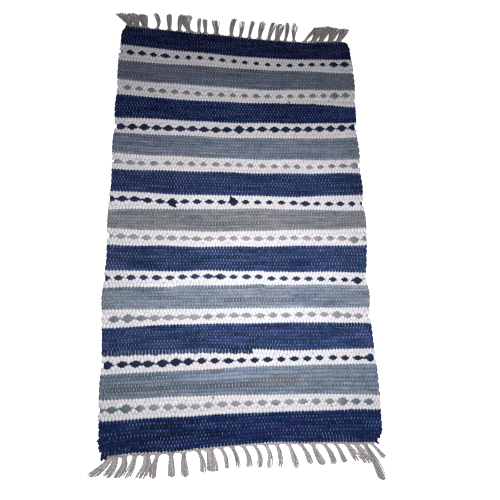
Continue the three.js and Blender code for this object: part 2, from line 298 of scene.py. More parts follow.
# %% [markdown]
# Hundreds of strips become one mesh in one go: the corner points of all the rings in one array,
# the four corners of each quad in another, and a cap at either end of each tube. Filling the
# arrays at once takes a moment, where adding faces one by one would take minutes.

# %% Join tubes into one mesh
def join_tubes(name, tubes):
    """Joins tubes into one mesh object with smooth sides, capped ends, and a laid-out UV map."""
    points, totals, corners, uvs, smooth, stains = [], [], [], [], [], []
    values = {"along": [], "around": [], "seed": [], "pressed": []}
    first = 0
    for band, t in enumerate(tubes):
        n, sides = t["rings"].shape[:2]
        points.append(t["rings"].reshape(-1, 3))
        values["along"].append(np.repeat(t["along"] * MM, sides))
        values["around"].append(np.tile(np.arange(sides) / sides, n))
        values["seed"].append(np.repeat(t["seed"], sides))
        values["pressed"].append(np.repeat(t["pressed"], sides))
        stains.append(np.repeat(t["stain"], sides, axis=0))
        i, k = np.meshgrid(np.arange(n - 1), np.arange(sides), indexing="ij")
        here, after = i * sides + k, i * sides + (k + 1) % sides
        quads = np.stack([here, after, after + sides, here + sides], -1)
        corners.append(quads.reshape(-1) + first)
        totals.append(np.full(i.size, 4))
        smooth.append(np.ones(i.size, bool))
        low = (band + BAND_START) / len(tubes)
        step = BAND_FILL / sides / len(tubes)
        uvs.append(side_uvs(t["along"], i, k, low, step))
        for ring, order in ((0, -1), (n - 1, 1)):
            cap = np.arange(sides)[::order]
            corners.append(cap + ring * sides + first)
            totals.append(np.array([sides]))
            smooth.append(np.array([False]))
            uvs.append(cap_uvs(cap, sides, ring == 0, low, step))
        first += n * sides
    total = np.concatenate(totals).astype(np.int32)
    mesh = mesh_from_arrays(name, points, corners, total)
    mesh.polygons.foreach_set("use_smooth", np.concatenate(smooth))
    for key, lists in values.items():
        layer = mesh.attributes.new(key, "FLOAT", "POINT")
        layer.data.foreach_set("value", np.concatenate(lists).astype(np.float32))
    layer = mesh.attributes.new("stain", "FLOAT_COLOR", "POINT")
    layer.data.foreach_set("color", np.concatenate(stains).astype(np.float32).ravel())
    uv_layer = mesh.uv_layers.new(name="OFBake")
    uv_layer.data.foreach_set("uv", np.concatenate(uvs).astype(np.float32).ravel())
    mesh.update(calc_edges=True)
    mesh.validate()
    piece = bpy.data.objects.new(name, mesh)
    bpy.context.scene.collection.objects.link(piece)
    print(name, "strips:", len(tubes), "triangles:", int((total - 2).sum()))
    return piece


def mesh_from_arrays(name, points, corners, total):
    """A mesh from lists of points, of each face's corners, and the count of corners of each."""
    mesh = bpy.data.meshes.new(name)
    places = (np.concatenate(points) + SHIFT) * MM
    corner = np.concatenate(corners).astype(np.int32)
    mesh.vertices.add(len(places))
    mesh.vertices.foreach_set("co", places.astype(np.float32).ravel())
    mesh.loops.add(len(corner))
    mesh.loops.foreach_set("vertex_index", corner)
    mesh.polygons.add(len(total))
    starts = np.concatenate([[0], np.cumsum(total)[:-1]]).astype(np.int32)
    mesh.polygons.foreach_set("loop_start", starts)
    mesh.polygons.foreach_set("loop_total", total)
    return mesh


# %% [markdown]
# ## Where the picks lie
#
# A stripe's border lines are shared out among its picks. In a white stripe the picks above and
# below the row of lozenges bend round each lens and close up between two lenses, as they do on
# the loom when a thick rag is laid in over five warp ends and under three. The heights and
# lengths of the lozenges differ from row to row, and some rows are set over by half a pitch.
# First come the tables of the lozenges, a row for each white stripe from the far end. high and
# long are at the left, the middle and the right, and drop is how far the row sinks there.

# %% Lozenge tables
LENS_ROWS = table(
    "phase pitch high_left high_middle high_right long_left long_middle long_right"
    " drop_middle drop_right thread",
    [
        (16.3, 29.0, 13.0, 9.0, 10.5, 16, 13, 15.5, 0, -3, 0),
        (13.8, 29.0, 12.5, 9.5, 12.0, 16, 15, 17, 0, -3, 0),
        (-1.8, 28.7, 16.0, 14.5, 16.0, 22, 20.5, 22, 0, 0, 0.4),
        (-3.1, 28.7, 11.5, 9.5, 11.0, 18, 14.5, 16.5, 1, 4, 0),
        (11.6, 28.7, 13.0, 9.5, 11.0, 20, 16.5, 16.5, 0, 1, 0),
        (11.6, 28.6, 11.5, 9.5, 11.0, 18, 17.5, 17, 0, 0, 0),
        (10.4, 28.8, 11.0, 9.2, 10.0, 17, 17, 15.5, 0, 0, 0),
        (11.3, 29.0, 12.5, 10.0, 11.0, 22, 18.5, 17.5, 0, 0, 0),
        (-3.2, 29.0, 15.0, 9.8, 11.5, 21, 17.0, 16.5, 3, 5, 0),
        (13.1, 29.0, 12.0, 10.0, 12.0, 19.5, 17.5, 19.5, 0, 0, 0),
    ],
)
# Lozenges that came out longer, taller, set off their row, or joined to the next one.
ODD_LENSES = table(
    "row at long high off joined",
    [
        (1, -188, 22, 11, 0, 0),
        (1, 249, 23, 14, 0, 0),
        (1, 278, 28, 15, 0, 0),
        (2, 246, 20, 17, -1, 0),
        (3, -1, 26, 22, 0, 0),
        (4, 285, 24, 16, 1, 0),
        (5, -245, 20, 12, 0, 1),
        (5, -159, 27, 20, -2, 0),
        (5, -17, 21, 20, 1.5, 0),
        (5, 153, 28, 12, 0, 0),
        (6, 272, 21, 17, -4, 0),
        (7, -47, 21, 12, 0, 0),
        (7, 270, 28, 17, -1, 0),
        (8, -249, 26, 18, 0, 0),
        (8, 217, 24, 16, 0, 0),
        (9, -262, 19, 12, 0, 0),
        (9, -235, 21, 13, 0, 1),
        (9, -205, 21, 12.5, 0, 0),
        (9, -172, 22, 15, 0, 0),
        (9, -143, 22, 15.5, 0, 0),
        (9, -115, 20, 14, 0, 0),
        (9, 258, 18, 9, 0, 1),
        (9, 286, 22, 17, 0, 0),
        (10, -245, 25, 17, 1, 0),
        (10, 217, 25, 17, 1, 0),
    ],
)
# How far a row of lozenges strays up from its line, at a few places along it.
SWAYS = {
    1: ((-150, -70, -20, 30, 80, 130, 200), (0, 5, 4, -2, -5, -5, -1)),
    2: ((-150, -30, 40, 110, 180, 240), (-1, -3.5, -1, -2, 0.5, 1)),
    4: ((-230, -170, -20, 50, 110, 165, 240), (-1, 0.5, 1.5, 1.5, -1.5, -3, 0)),
    5: ((-230, -188, -100, 60, 100, 150, 240), (-1, -3, 0, 0, 2, -0.5, -2)),
    6: ((-260, -190, -100, -20, 200, 260), (0, -3, -2, 0, 0.5, -1.5)),
    7: ((-280, -200, 20, 100, 200, 260), (-3, 0, -0.5, 1.5, -1.5, -0.5)),
    8: ((-250, -190, -140, -60, 90, 150, 215, 270), (-1, -3, -2, 0, -1.5, 1.5, 2, -2)),
    10: ((-250, -130, -20, 90, 160, 260), (-2, -1.5, -1, 1, 2, -1.5)),
}
# How far the lozenges of a row lie to the right of an even spacing.
PULLS = {
    3: ((-260, 40, 85, 170, 230), (0, 0, 2.5, 3, 2)),
    4: ((-260, -206, -173, -100, 0), (0, -3, 2.5, 1, 0)),
    7: ((-250, -205, -160, 80, 120, 160), (2, -2, -1, 0, 2, 0)),
    8: ((-250, 80, 120, 217, 242, 272), (-1.5, 0, 2, 2, -2, -5)),
    9: ((-300, -230, -205, -175, -145, -90, 60, 130, 180, 230), (4.5, 4.5, 2, 3, 2, 0, 0, 2, 1, 0)),
    10: ((-250, -100, 20, 130, 190, 250), (1, 0, -1.5, 0, 2, 2)),
}
white_stripes = [i for i, stripe in enumerate(STRIPES) if stripe["colour"].startswith("white")]
white_rows = {i: row for row, i in enumerate(white_stripes)}
print("lozenge rows:", len(white_rows))

# %% [markdown]
# The border lines were laid over the photo and moved until they met its own. What was left over
# after the shallow curves is in the next table, one row for each line from the far end. The
# near end also hangs a little lower left of its middle, and a thick rag lifts a border in places.

# %% How far the borders stray
# Places where a thick rag pushes the border under a stripe up or down, in millimetres.
BORDER_STEPS = table(
    "under start end up",
    [
        (4, 180, 196, 1.5),
        (13, -110, 52, 0.9),
        (13, 52, 300, -1.5),
        (14, -150, 52, 2.8),
        (16, 150, 215, 1.0),
    ],
)
STEP_EASE = 3
# How far each border line strays up from its curve, at seven places across the rug.
STRAYS = table(
    "line at_-270 at_-180 at_-90 at_0 at_90 at_180 at_270",
    [
        (0, 0, 0.3, 3, -1, -5, -4.5, -2.5),
        (1, -1, -1.5, 0, -0.5, -3, -1.5, -0.5),
        (2, -0.5, -0.5, 0, 0.5, -1, 0.5, 0),
        (3, -1.5, 1.5, 0.5, -2, -2, 0, -1.5),
        (4, 1, -1, -1, -2, 1.5, 2.5, -5),
        (5, -0.5, 0, -0.5, -3, -2.5, -1.5, -3),
        (6, 1, 0.5, 1, -1, -0.5, -1, 0.5),
        (7, -0.5, -0.5, -1.5, -1, -1.5, -2, -1),
        (8, -1.5, 1, 0, -0.5, -0.5, -1.5, 0),
        (9, -2.5, -1.5, -1, -0.5, -1.5, -1.5, -0.5),
        (10, -1, 0, 0, 1, 1.5, 1.5, 1),
        (11, -0.5, -2, -1.5, -0.5, 0, 0.5, -1),
        (12, -1, -0.5, -2.5, 0.5, -1, 0, -2),
        (13, -1.5, -1.5, -2, -2, 0, -1, -0.5),
        (14, -2.5, -2, -4.5, -4.5, 1, 1, 1.5),
        (15, 0.5, -1, 0, -1.5, -1.5, -0.5, -2),
        (16, 0, -0.5, 0.5, -1.5, -1.5, 0, 0),
        (17, 10, 9.5, 8.5, 6, -2.5, -3, -0.5),
        (18, -0.5, 0, -3.5, 1, 1, -1, 2),
        (19, -2, -0.5, -0.5, -2.5, -0.5, -0.5, -1.5),
        (20, -1.5, -2, -1, -2, -1.5, 0.5, -0.5),
        (21, 0, -0.5, -1.5, 0.5, 0, -1, -0.5),
    ],
)
STRAY_PLACES = np.arange(-270, 271, 90)
SAG_MIDDLE = -150
SAG_HALF = 62
SAG_DEPTH = 4.0
RIPPLES = table("up across down start", [(0.7, 41, 37, 0), (0.5, 23, -29, 1)])
RIPPLE_SINK = 0.2


def stray(line_number, x):
    """How far a border line strays up from its curve at x."""
    places = list(STRAYS[line_number].values())[1:]
    return np.interp(x, STRAY_PLACES, places)


def border_stray(i, t, x):
    """How far the line that lies t of the way down stripe i strays up at x."""
    return (1 - t) * stray(i, x) + t * stray(i + 1, x)


def sag(x):
    """How much lower the near end hangs at x."""
    return SAG_DEPTH * np.exp(-(((x - SAG_MIDDLE) / SAG_HALF) ** 2))


def ripple(x, y):
    """Beating leaves every line a little wavy."""
    x = np.asarray(x, float)
    waves = (w["up"] * np.sin(x / w["across"] + y / w["down"] + w["start"]) for w in RIPPLES)
    return sum(waves) - RIPPLE_SINK


def plain_border(i, t, x):
    """The y of the line that lies t of the way down stripe i, at x."""
    stripe = STRIPES[i]
    line = line_at(i, t)
    lift = np.array([stripe["left_lift"], 0, stripe["right_lift"]])
    y = bow(line + 4 * t * (1 - t) * lift, x) + ripple(x, line[1]) + border_stray(i, t, x)
    if i == len(STRIPES) - 1:
        y = y - t * sag(x)
    for step in BORDER_STEPS:
        share = {i: 1 - t, i + 1: t}.get(step["under"], 0)
        if share:
            rise = ease((x - step["start"]) / STEP_EASE)
            fall = ease((step["end"] - x) / STEP_EASE)
            y = y + share * step["up"] * rise * fall
    return y


# %% [markdown]
# A lozenge is round in its middle and draws out to thin points. The next cell works out where
# the lozenges of a row lie and how far each of them pushes the white picks apart.

# %% Lozenges of a row
GAP_HALF = -0.3
LENS_SWELL = 0.6
TIP_STRETCH = 1.48
TIP_LIMIT = 15.6
TIP_BARE = 1.75
TIP_CLOSE = 0.16
LINK_REACH = 8
LINK_HALF = 2.3
ROW_REACH = HALF_WIDTH + 4
PITCH_GROWTH = 3.5
ROW_SHIFT = 0.1
MOST_LENSES = 12
UNEVEN_PLACE = 0.5
UNEVEN_SIZE = 0.06
UNEVEN_SHIFT = 0.35


def lenses(i):
    """The lozenges of white stripe i: middles, half lengths, half heights, shifts and joins."""
    number = white_rows[i] + 1
    row = LENS_ROWS[number - 1]
    chance = chance_for("lozenges", i)
    steps = np.arange(-MOST_LENSES, MOST_LENSES + 1)
    middles = row["phase"] + steps * row["pitch"]
    middles = middles + PITCH_GROWTH * (middles / HALF_WIDTH) ** 2 + ROW_SHIFT
    lengths = bow((row["long_left"], row["long_middle"], row["long_right"]), middles)
    heights = bow((row["high_left"], row["high_middle"], row["high_right"]), middles)
    middles = middles + chance.normal(0, UNEVEN_PLACE, len(steps))
    lengths = lengths * chance.normal(1, UNEVEN_SIZE, len(steps))
    heights = heights * chance.normal(1, UNEVEN_SIZE, len(steps))
    drops = bow((0, row["drop_middle"], row["drop_right"]), middles)
    shifts = chance.normal(0, UNEVEN_SHIFT, len(steps)) - drops
    if number in SWAYS:
        shifts = shifts + np.interp(middles, *SWAYS[number])
    if number in PULLS:
        middles = middles + np.interp(middles, *PULLS[number])
    joined = np.zeros(len(steps), bool)
    for odd in ODD_LENSES:
        if odd["row"] == number:
            k = np.abs(middles - odd["at"]).argmin()
            lengths[k], heights[k], joined[k] = odd["long"], odd["high"], odd["joined"]
            shifts[k] += odd["off"]
    fits = np.abs(middles) < ROW_REACH
    return middles[fits], lengths[fits] / 2, heights[fits] / 2, shifts[fits], joined[fits]


def lens_fullness(u):
    """How full a lozenge is at u, which runs from 0 in its middle to 1 at its tip."""
    return 0.5 + 0.5 * np.cos(np.pi * np.clip(u, 0, 1))


def tip_reach(half_long):
    """How far from its middle a lozenge has drawn out to nothing."""
    return np.minimum(half_long * TIP_STRETCH, TIP_LIMIT)


def lens_reach(i, x):
    """How far the lozenges of stripe i push the white picks apart at x, and how far they lie off."""
    middles, half_long, half_high, shifts, joined = lenses(i)
    u = np.abs(x[:, None] - middles[None]) / tip_reach(half_long)[None]
    gap_half = GAP_HALF + LENS_ROWS[white_rows[i]]["thread"]
    reach = gap_half + (TIP_BARE - gap_half) * ease((1 - u) / TIP_CLOSE)
    reach = reach + (half_high[None] + LENS_SWELL - TIP_BARE) * lens_fullness(u)
    links = (middles[1:] + middles[:-1])[joined[:-1]] / 2
    for link in links:
        near = np.abs(x - link) < LINK_REACH
        reach[near] = np.maximum(reach[near], LINK_HALF)
    offset = np.interp(x, middles, shifts) - border_stray(i, 0.5, x)
    return reach.max(1), offset


# %% [markdown]
# The lozenge takes the room that it needs, so the pick above it gives way at its lower border
# and the pick below at its upper one. Their far borders and the outer picks give way a little.

# %% Pick borders
NEIGHBOUR_GIVE = 0.35


def pick_borders(i, pick, x):
    """The upper and lower borders of a pick of stripe i at the places x."""
    picks = STRIPES[i]["picks"]
    upper, lower = (plain_border(i, (pick + k) / picks, x) for k in (0, 1))
    if i not in white_rows:
        return upper, lower
    float_upper, float_lower = (plain_border(i, (FLOAT_PICK + k) / picks, x) for k in (0, 1))
    reach, offset = lens_reach(i, x)
    push = reach - (float_upper - float_lower) / 2
    # How much of the push the upper and the lower border of each pick take.
    shares = {
        0: (0, NEIGHBOUR_GIVE),
        FLOAT_PICK - 1: (NEIGHBOUR_GIVE, 1),
        FLOAT_PICK: (1, -1),
        FLOAT_PICK + 1: (-1, -NEIGHBOUR_GIVE),
        picks - 1: (-NEIGHBOUR_GIVE, 0),
    }
    give_upper, give_lower = shares[pick]
    upper = upper + give_upper * push + abs(give_upper) * offset
    return upper, lower + give_lower * push + abs(give_lower) * offset


# %% [markdown]
# ## Rags of another dye
#
# A rag weaver sews short strips of whatever cloth is at hand into one long rag, so a pick can
# turn darker, greener or rusty for a hand's width. The table below lists such stretches after
# the photo: the stripe and the pick from the far end, where the stretch starts and ends
# across the rug, its dye, and how much of that dye it shows. The dark and rusty ones are read
# off the photo, and some of the faint cream and pink ones on white rag are guesses.

# %% Odd rags
ODD_DYES = {
    "olive": (0.09, 0.10, 0.095),
    "rust": (0.20, 0.155, 0.115),
    "ink": (0.015, 0.018, 0.035),
    "slate": (0.09, 0.13, 0.22),
    "teal": (0.10, 0.17, 0.20),
    "plum": (0.16, 0.13, 0.19),
    "sky": (0.33, 0.42, 0.56),
    "sea": (0.012, 0.050, 0.095),
    "violet": (0.040, 0.035, 0.15),
    "cream": (0.86, 0.745, 0.67),
    "pink": (0.82, 0.70, 0.74),
}
ODD_RAGS = table(
    "stripe pick start end dye share",
    [
        (1, 1, -300, -40, "ink", 0.5),
        (1, 4, 60, 240, "ink", 0.6),
        (1, 2, 60, 200, "violet", 0.5),
        (3, 0, -300, -60, "plum", 0.6),
        (3, 0, -20, 70, "ink", 0.35),
        (3, 2, -90, 60, "olive", 0.4),
        (3, 4, -310, -180, "slate", 0.5),
        (5, 2, -200, -120, "violet", 0.7),
        (5, 4, -40, 130, "violet", 0.7),
        (5, 5, -290, -60, "sea", 0.5),
        (7, 0, -230, -110, "slate", 0.5),
        (7, 1, -280, -160, "slate", 0.4),
        (7, 3, 40, 210, "sky", 0.5),
        (9, 3, -310, -90, "violet", 0.6),
        (9, 5, -60, 90, "sea", 0.5),
        (11, 1, -310, -180, "slate", 0.35),
        (11, 4, -120, 90, "olive", 0.35),
        (13, 4, -310, -60, "ink", 0.4),
        (13, 3, -120, 30, "sea", 0.7),
        (13, 5, -40, 180, "ink", 0.4),
        (13, 4, 100, 290, "violet", 0.6),
        (15, 0, -310, -153, "slate", 0.7),
        (15, 0, -153, 52, "slate", 0.35),
        (15, 2, -240, -60, "rust", 0.2),
        (15, 4, -60, 25, "ink", 0.55),
        (15, 4, -10, 165, "ink", 0.35),
        (15, 3, 190, 290, "plum", 0.4),
        (15, 5, 100, 250, "slate", 0.5),
        (17, 1, -80, 120, "violet", 0.6),
        (17, 3, -200, 40, "ink", 0.25),
        (17, 5, 40, 200, "sea", 0.6),
        (17, 6, -300, -200, "ink", 0.6),
        (19, 0, -310, -150, "teal", 0.7),
        (19, 0, -90, -40, "plum", 0.6),
        (19, 1, -310, -110, "slate", 0.4),
        (19, 1, -60, 120, "sky", 0.6),
        (19, 2, -140, 70, "sky", 0.7),
        (19, 3, -310, -190, "olive", 0.45),
        (19, 3, -190, 10, "olive", 0.3),
        (19, 4, -310, 40, "olive", 0.6),
        (19, 4, 40, 110, "olive", 0.4),
        (19, 5, -310, -200, "teal", 0.4),
        (19, 5, -200, -60, "olive", 0.25),
        (19, 3, 5, 140, "rust", 0.5),
        (19, 4, 20, 130, "rust", 0.4),
        (19, 2, 10, 120, "rust", 0.25),
        (19, 3, 135, 190, "olive", 0.4),
        (19, 5, -60, 60, "plum", 0.35),
        (21, 2, -230, -110, "ink", 0.8),
        (21, 4, -310, -60, "ink", 0.4),
        (21, 5, -20, 160, "violet", 0.6),
        (4, 2, -350, 350, "plum", 0.35),
        (8, 2, -350, 350, "plum", 0.2),
        (4, 3, -80, 70, "cream", 0.4),
        (4, 4, 120, 310, "cream", 0.4),
        (6, 3, -150, 310, "cream", 0.3),
        (6, 4, -100, 250, "pink", 0.3),
        (8, 0, -200, -40, "cream", 0.4),
        (8, 1, -210, -50, "cream", 0.35),
        (8, 3, -200, 120, "cream", 0.35),
        (8, 4, -60, 160, "pink", 0.3),
        (10, 0, 220, 310, "pink", 0.4),
        (10, 3, -60, 200, "cream", 0.3),
        (10, 4, -120, 160, "cream", 0.3),
        (12, 0, -310, 310, "cream", 0.3),
        (12, 1, -240, 120, "cream", 0.25),
        (16, 0, 190, 310, "pink", 0.35),
        (16, 3, -120, 60, "cream", 0.25),
        (18, 3, -220, -20, "pink", 0.3),
        (18, 4, -240, 40, "pink", 0.3),
        (20, 0, -220, 60, "cream", 0.25),
        (20, 3, -220, 20, "pink", 0.3),
        (12, 2, 255, 310, "teal", 0.6),
        (14, 2, -310, 225, "slate", 0.3),
        (14, 2, 225, 310, "sea", 0.4),
        (16, 2, -310, -200, "slate", 0.45),
        (20, 2, -310, -200, "teal", 0.75),
        (20, 2, 203, 310, "slate", 0.6),
    ],
)
FADE = 30.0


def stain_along(i, pick, x):
    """The stain of each place on a pick: red, green, blue and strength."""
    stain = np.zeros((len(x), 4))
    for odd in ODD_RAGS:
        if (odd["stripe"], odd["pick"]) == (i + 1, pick):
            share = odd["share"] * ease((x - odd["start"]) / FADE) * ease((odd["end"] - x) / FADE)
            stronger = share > stain[:, 3]
            stain[stronger, :3] = ODD_DYES[odd["dye"]]
            stain[stronger, 3] = share[stronger]
    return stain


# %% [markdown]
# ## Rag picks
#
# A torn strip of cotton, folded on itself by the beater, is thick and soft. Where it passes over
# a warp end it stands up as a fat oval, and where the end passes over it, it is pressed into
# a notch, between two shoulders. At the selvedge it turns back into the next pick.

# %% Rag pick sizes
NOTCH, SHOULDER, OVAL, TURN = range(4)
MIDDLE_HEIGHT = np.array([1.9, 3.6, 4.75, 3.6])
HALF_THICK = np.array([1.7, 2.1, 2.15, 2.8])
SPREAD = np.array([-0.5, 0.7, 1.6, -0.2])
# Painted shade in the rag's colour: full in a notch, half on a shoulder, a little at a turn.
SHADE_BY_KIND = np.array([1.0, 0.5, 0.0, 0.1])
WHITE_FLATTER = 0.82
WHITE_WIDER = 0.4
WHITE_RISE = 0.87
SHOULDER_STEP = 1.35
PICK_SIDES = 6
PICK_LOW, PICK_TOP = 0.15, 7.25
CUT_HALF = 0.8
RAG_LENGTH = 640.0
TURN_ANGLES = np.radians([25, 55, 90])
TURN_SQUARE = 0.5
TURN_SWING = 1.3
TURN_WIDE = np.array([4.6, 4.0, 3.3])
EDGE_OUT = 0.2
# How uneven the picks are, as the standard deviation of each measure.
OVAL_SHIFT, NOTCH_SHIFT = 0.3, 0.1
FULL_CHANCE, THICK_CHANCE = 0.03, 0.035
MIDDLE_CHANCE, HEIGHT_CHANCE, WIDE_CHANCE = 0.16, 0.1, 0.2


# %% [markdown]
# At the selvedge the rag swings round in a short arc towards the next pick. Every other pick
# turns at the left and the rest at the right, as the shuttle goes to and fro.

# %% Turn at the selvedge
def turn_rings(start, line, side, number, upper, lower):
    """The pick's end, bent round towards the pick that it turns into at that selvedge."""
    outward = 1 if side else -1
    down = (number % 2 == 0) == (side == 1)
    goal = lower if down else upper
    reach = selvedge(line, side) + EDGE_OUT - TURN_WIDE[-1] - abs(start[0])
    x = start[0] + outward * reach * np.sin(TURN_ANGLES) ** TURN_SQUARE
    y = start[1] + (goal - start[1]) * (1 - np.cos(TURN_ANGLES)) ** TURN_SWING
    z = start[2] + (MIDDLE_HEIGHT[TURN] - start[2]) * np.sin(TURN_ANGLES)
    return np.stack([x, y, z], 1)


def lengthen(values, more, side):
    """Adds more values at the left (side 0), running outwards, or at the right (side 1)."""
    return np.concatenate([values, more] if side else [more[::-1], values])


# %% [markdown]
# A pick is made in one sweep from left to right: a notch, two shoulders and an oval in turn,
# each a little off its place. Where a rag has been joined in the middle, span cuts the pick.

# %% One pick
def pick_rings(i, pick, number, span=None):
    """One pick of stripe i as a tube. number counts the plain picks from the far end."""
    stripe = STRIPES[i]
    chance = chance_for("picks", PICKS_APART * i + pick)
    line = line_at(i, (pick + 0.5) / stripe["picks"])
    ends = warp_places(line)
    under = (np.arange(ENDS) + number) % 2 == 0
    x = np.concatenate([ends, ends[under] - SHOULDER_STEP, ends[under] + SHOULDER_STEP])
    kind = np.concatenate([np.where(under, NOTCH, OVAL), np.full(2 * under.sum(), SHOULDER)])
    order = np.argsort(x)
    x, kind = x[order], kind[order]
    oval_shift = chance.normal(0, OVAL_SHIFT, len(x))
    notch_shift = chance.normal(0, NOTCH_SHIFT, len(x))
    x = x + np.where(kind == OVAL, oval_shift, notch_shift)
    upper, lower = pick_borders(i, pick, x)
    full = chance.normal(1, FULL_CHANCE)
    loose = chance.normal(0, 1, len(x))
    middle = (upper + lower) / 2 + MIDDLE_CHANCE * loose
    height = MIDDLE_HEIGHT[kind] + HEIGHT_CHANCE * chance.normal(0, 1, len(x))
    path = np.stack([x, middle, height], 1)
    wide = (upper - lower) / 2 + SPREAD[kind] * full + WIDE_CHANCE * chance.normal(0, 1, len(x))
    high = HALF_THICK[kind] * (full + THICK_CHANCE * loose)
    if i in white_rows:
        path[:, 2] += WHITE_RISE * high * (1 - WHITE_FLATTER)
        high = high * WHITE_FLATTER
        wide = wide + WHITE_WIDER
    # Painted shade for each place, most where the warp holds the rag down in a notch.
    pressed = SHADE_BY_KIND[kind]
    if span:
        kept = (x > span[0]) & (x < span[1])
        path, wide, high, pressed = path[kept], wide[kept], high[kept], pressed[kept]
    for side, end in enumerate((0, -1)):
        if span and abs(span[side]) < HALF_WIDTH:
            wide[end], high[end] = CUT_HALF, CUT_HALF
            continue
        turned = turn_rings(path[end], line, side, number, upper[end], lower[end])
        path = lengthen(path, turned, side)
        wide = lengthen(wide, TURN_WIDE, side)
        high = lengthen(high, np.full(len(turned), HALF_THICK[TURN]), side)
        pressed = lengthen(pressed, np.full(len(turned), SHADE_BY_KIND[TURN]), side)
    rings = ring_points(path, wide, high, PICK_SIDES)
    rings[..., 2] = np.clip(rings[..., 2], PICK_LOW, PICK_TOP)
    steps = np.linalg.norm(np.diff(path[:, :2], axis=0), axis=1)
    length = np.concatenate([[0], np.cumsum(steps)])
    along = RAG_LENGTH * number + (length if number % 2 == 0 else length[-1] - length)
    return tube(rings, along, chance.random(), pressed, stain_along(i, pick, path[:, 0]))


# %% [markdown]
# ## Weaving the stripes
#
# Each stripe becomes one piece. A rag can run out in the middle of a pick, and then the next
# colour starts there, which leaves a small step in the border. The photo shows one such join,
# where navy rag runs on into the first pick of the ninth white stripe.

# %% Stripe pieces
JOINS = table("stripe pick at takes", [(17, 0, 22.0, 16)])
JOIN_LAP = 2
PAST_EDGE = 400
plain_number = {}
for i, stripe in enumerate(STRIPES):
    for pick in range(stripe["picks"]):
        if i not in white_rows or pick != FLOAT_PICK:
            plain_number[i, pick] = len(plain_number)
joins = {(join["stripe"], join["pick"]): join for join in JOINS}
stripe_tubes = {i: [] for i in range(len(STRIPES))}
for (i, pick), number in plain_number.items():
    join = joins.get((i, pick))
    if join is None:
        stripe_tubes[i].append(pick_rings(i, pick, number))
        continue
    left_part = (-PAST_EDGE, join["at"] + JOIN_LAP)
    right_part = (join["at"] - JOIN_LAP, PAST_EDGE)
    stripe_tubes[join["takes"]].append(pick_rings(i, pick, number, left_part))
    stripe_tubes[i].append(pick_rings(i, pick, number, right_part))
stripe_pieces = []
for i, stripe in enumerate(STRIPES):
    colour = stripe["colour"].split("_")[0]
    stripe_pieces.append(join_tubes(f"{colour}_picks_{i + 1:02d}", stripe_tubes[i]))

# %% [markdown]
# ## Lozenges
#
# The rag of a lozenge row is the same strip all the way: it floats on top as a smooth lens,
# narrows to a point, dives under three warp ends and comes up again. Its own widths along the
# path make the lenses, with more sides round than a pick has, because it lies bare.

# %% Lozenge rows
LENS_STATIONS = np.array([-1, -0.82, -0.55, -0.25, 0, 0.25, 0.55, 0.82, 1])
LENS_SIDES = 10
FLOAT_SPREAD = 1.4
THREAD_HALF = 0.9
THREAD_LOW = 2.6
THREAD_RISE = 1.6
LENS_TOP = 4.8
LENS_THICK = 1.35
LINK_LOW = 4.2
LINK_THICK = 1.6
LENS_INSET = 2.5
LEAST_STEP = 0.2
ROW_LENGTH = 4000.0
LENS_ARCH = 2.2
LENS_CHANCE = 0.12


def lozenge_row(i):
    """The laid-in rag of white stripe i as one tube."""
    chance = chance_for("floats", i)
    middles, half_long, half_high, shifts, joined = lenses(i)
    t = (FLOAT_PICK + 0.5) / STRIPES[i]["picks"]
    line = line_at(i, t)
    x = (middles[:, None] + tip_reach(half_long)[:, None] * LENS_STATIONS[None]).ravel()
    u = np.abs(np.tile(LENS_STATIONS, len(middles)))
    y = plain_border(i, t, x) - border_stray(i, t, x) + np.repeat(shifts, len(LENS_STATIONS))
    lens_half = np.repeat(half_high, len(LENS_STATIONS)) + LENS_SWELL
    wide = np.maximum(lens_half * lens_fullness(u) + FLOAT_SPREAD, THREAD_HALF)
    thread = LENS_ROWS[white_rows[i]]["thread"]
    low = THREAD_LOW + min(thread * 2, THREAD_RISE)
    z = low + (LENS_TOP - low) * (1 - u**LENS_ARCH)
    high = THREAD_HALF + LENS_THICK * (1 - u**2)
    for left, right in zip(middles[:-1][joined[:-1]], middles[1:][joined[:-1]]):
        linked = (x > left) & (x < right)
        wide[linked] = np.maximum(wide[linked], LINK_HALF + 1)
        z[linked] = np.maximum(z[linked], LINK_LOW)
        high[linked] = np.maximum(high[linked], LINK_THICK)
    kept = (x > LENS_INSET - selvedge(line, 0)) & (x < selvedge(line, 1) - LENS_INSET)
    path = np.stack([x, y, z], 1)[kept]
    wide, high = wide[kept], high[kept]
    order = np.argsort(path[:, 0], kind="stable")
    path, wide, high = path[order], wide[order], high[order]
    apart = np.diff(path[:, 0], prepend=path[0, 0] - 5) > LEAST_STEP
    path, wide, high = path[apart], wide[apart], high[apart]
    path[:, 1] += chance.normal(0, LENS_CHANCE, len(path))
    rings = ring_points(path, wide, high, LENS_SIDES)
    along = path[:, 0] + ROW_LENGTH * i
    return tube(rings, along, chance.random(), 0.0, stain_along(i, FLOAT_PICK, path[:, 0]))


lozenge_pieces = {}
for i, row in white_rows.items():
    lozenge_pieces[i] = join_tubes(f"lozenge_row_{row + 1:02d}", [lozenge_row(i)])

# %% [markdown]
# ## Rag ends and knots
#
# A few rags end in the open: a knot beside a lozenge, a bump on a border, a loose thread. They
# are short tubes of their own that lie on the weave, thick at the root and thin at the tip. Each
# row says where one starts, which way it points in degrees, how long and how thick it is, and by
# how many degrees it curls on its way.

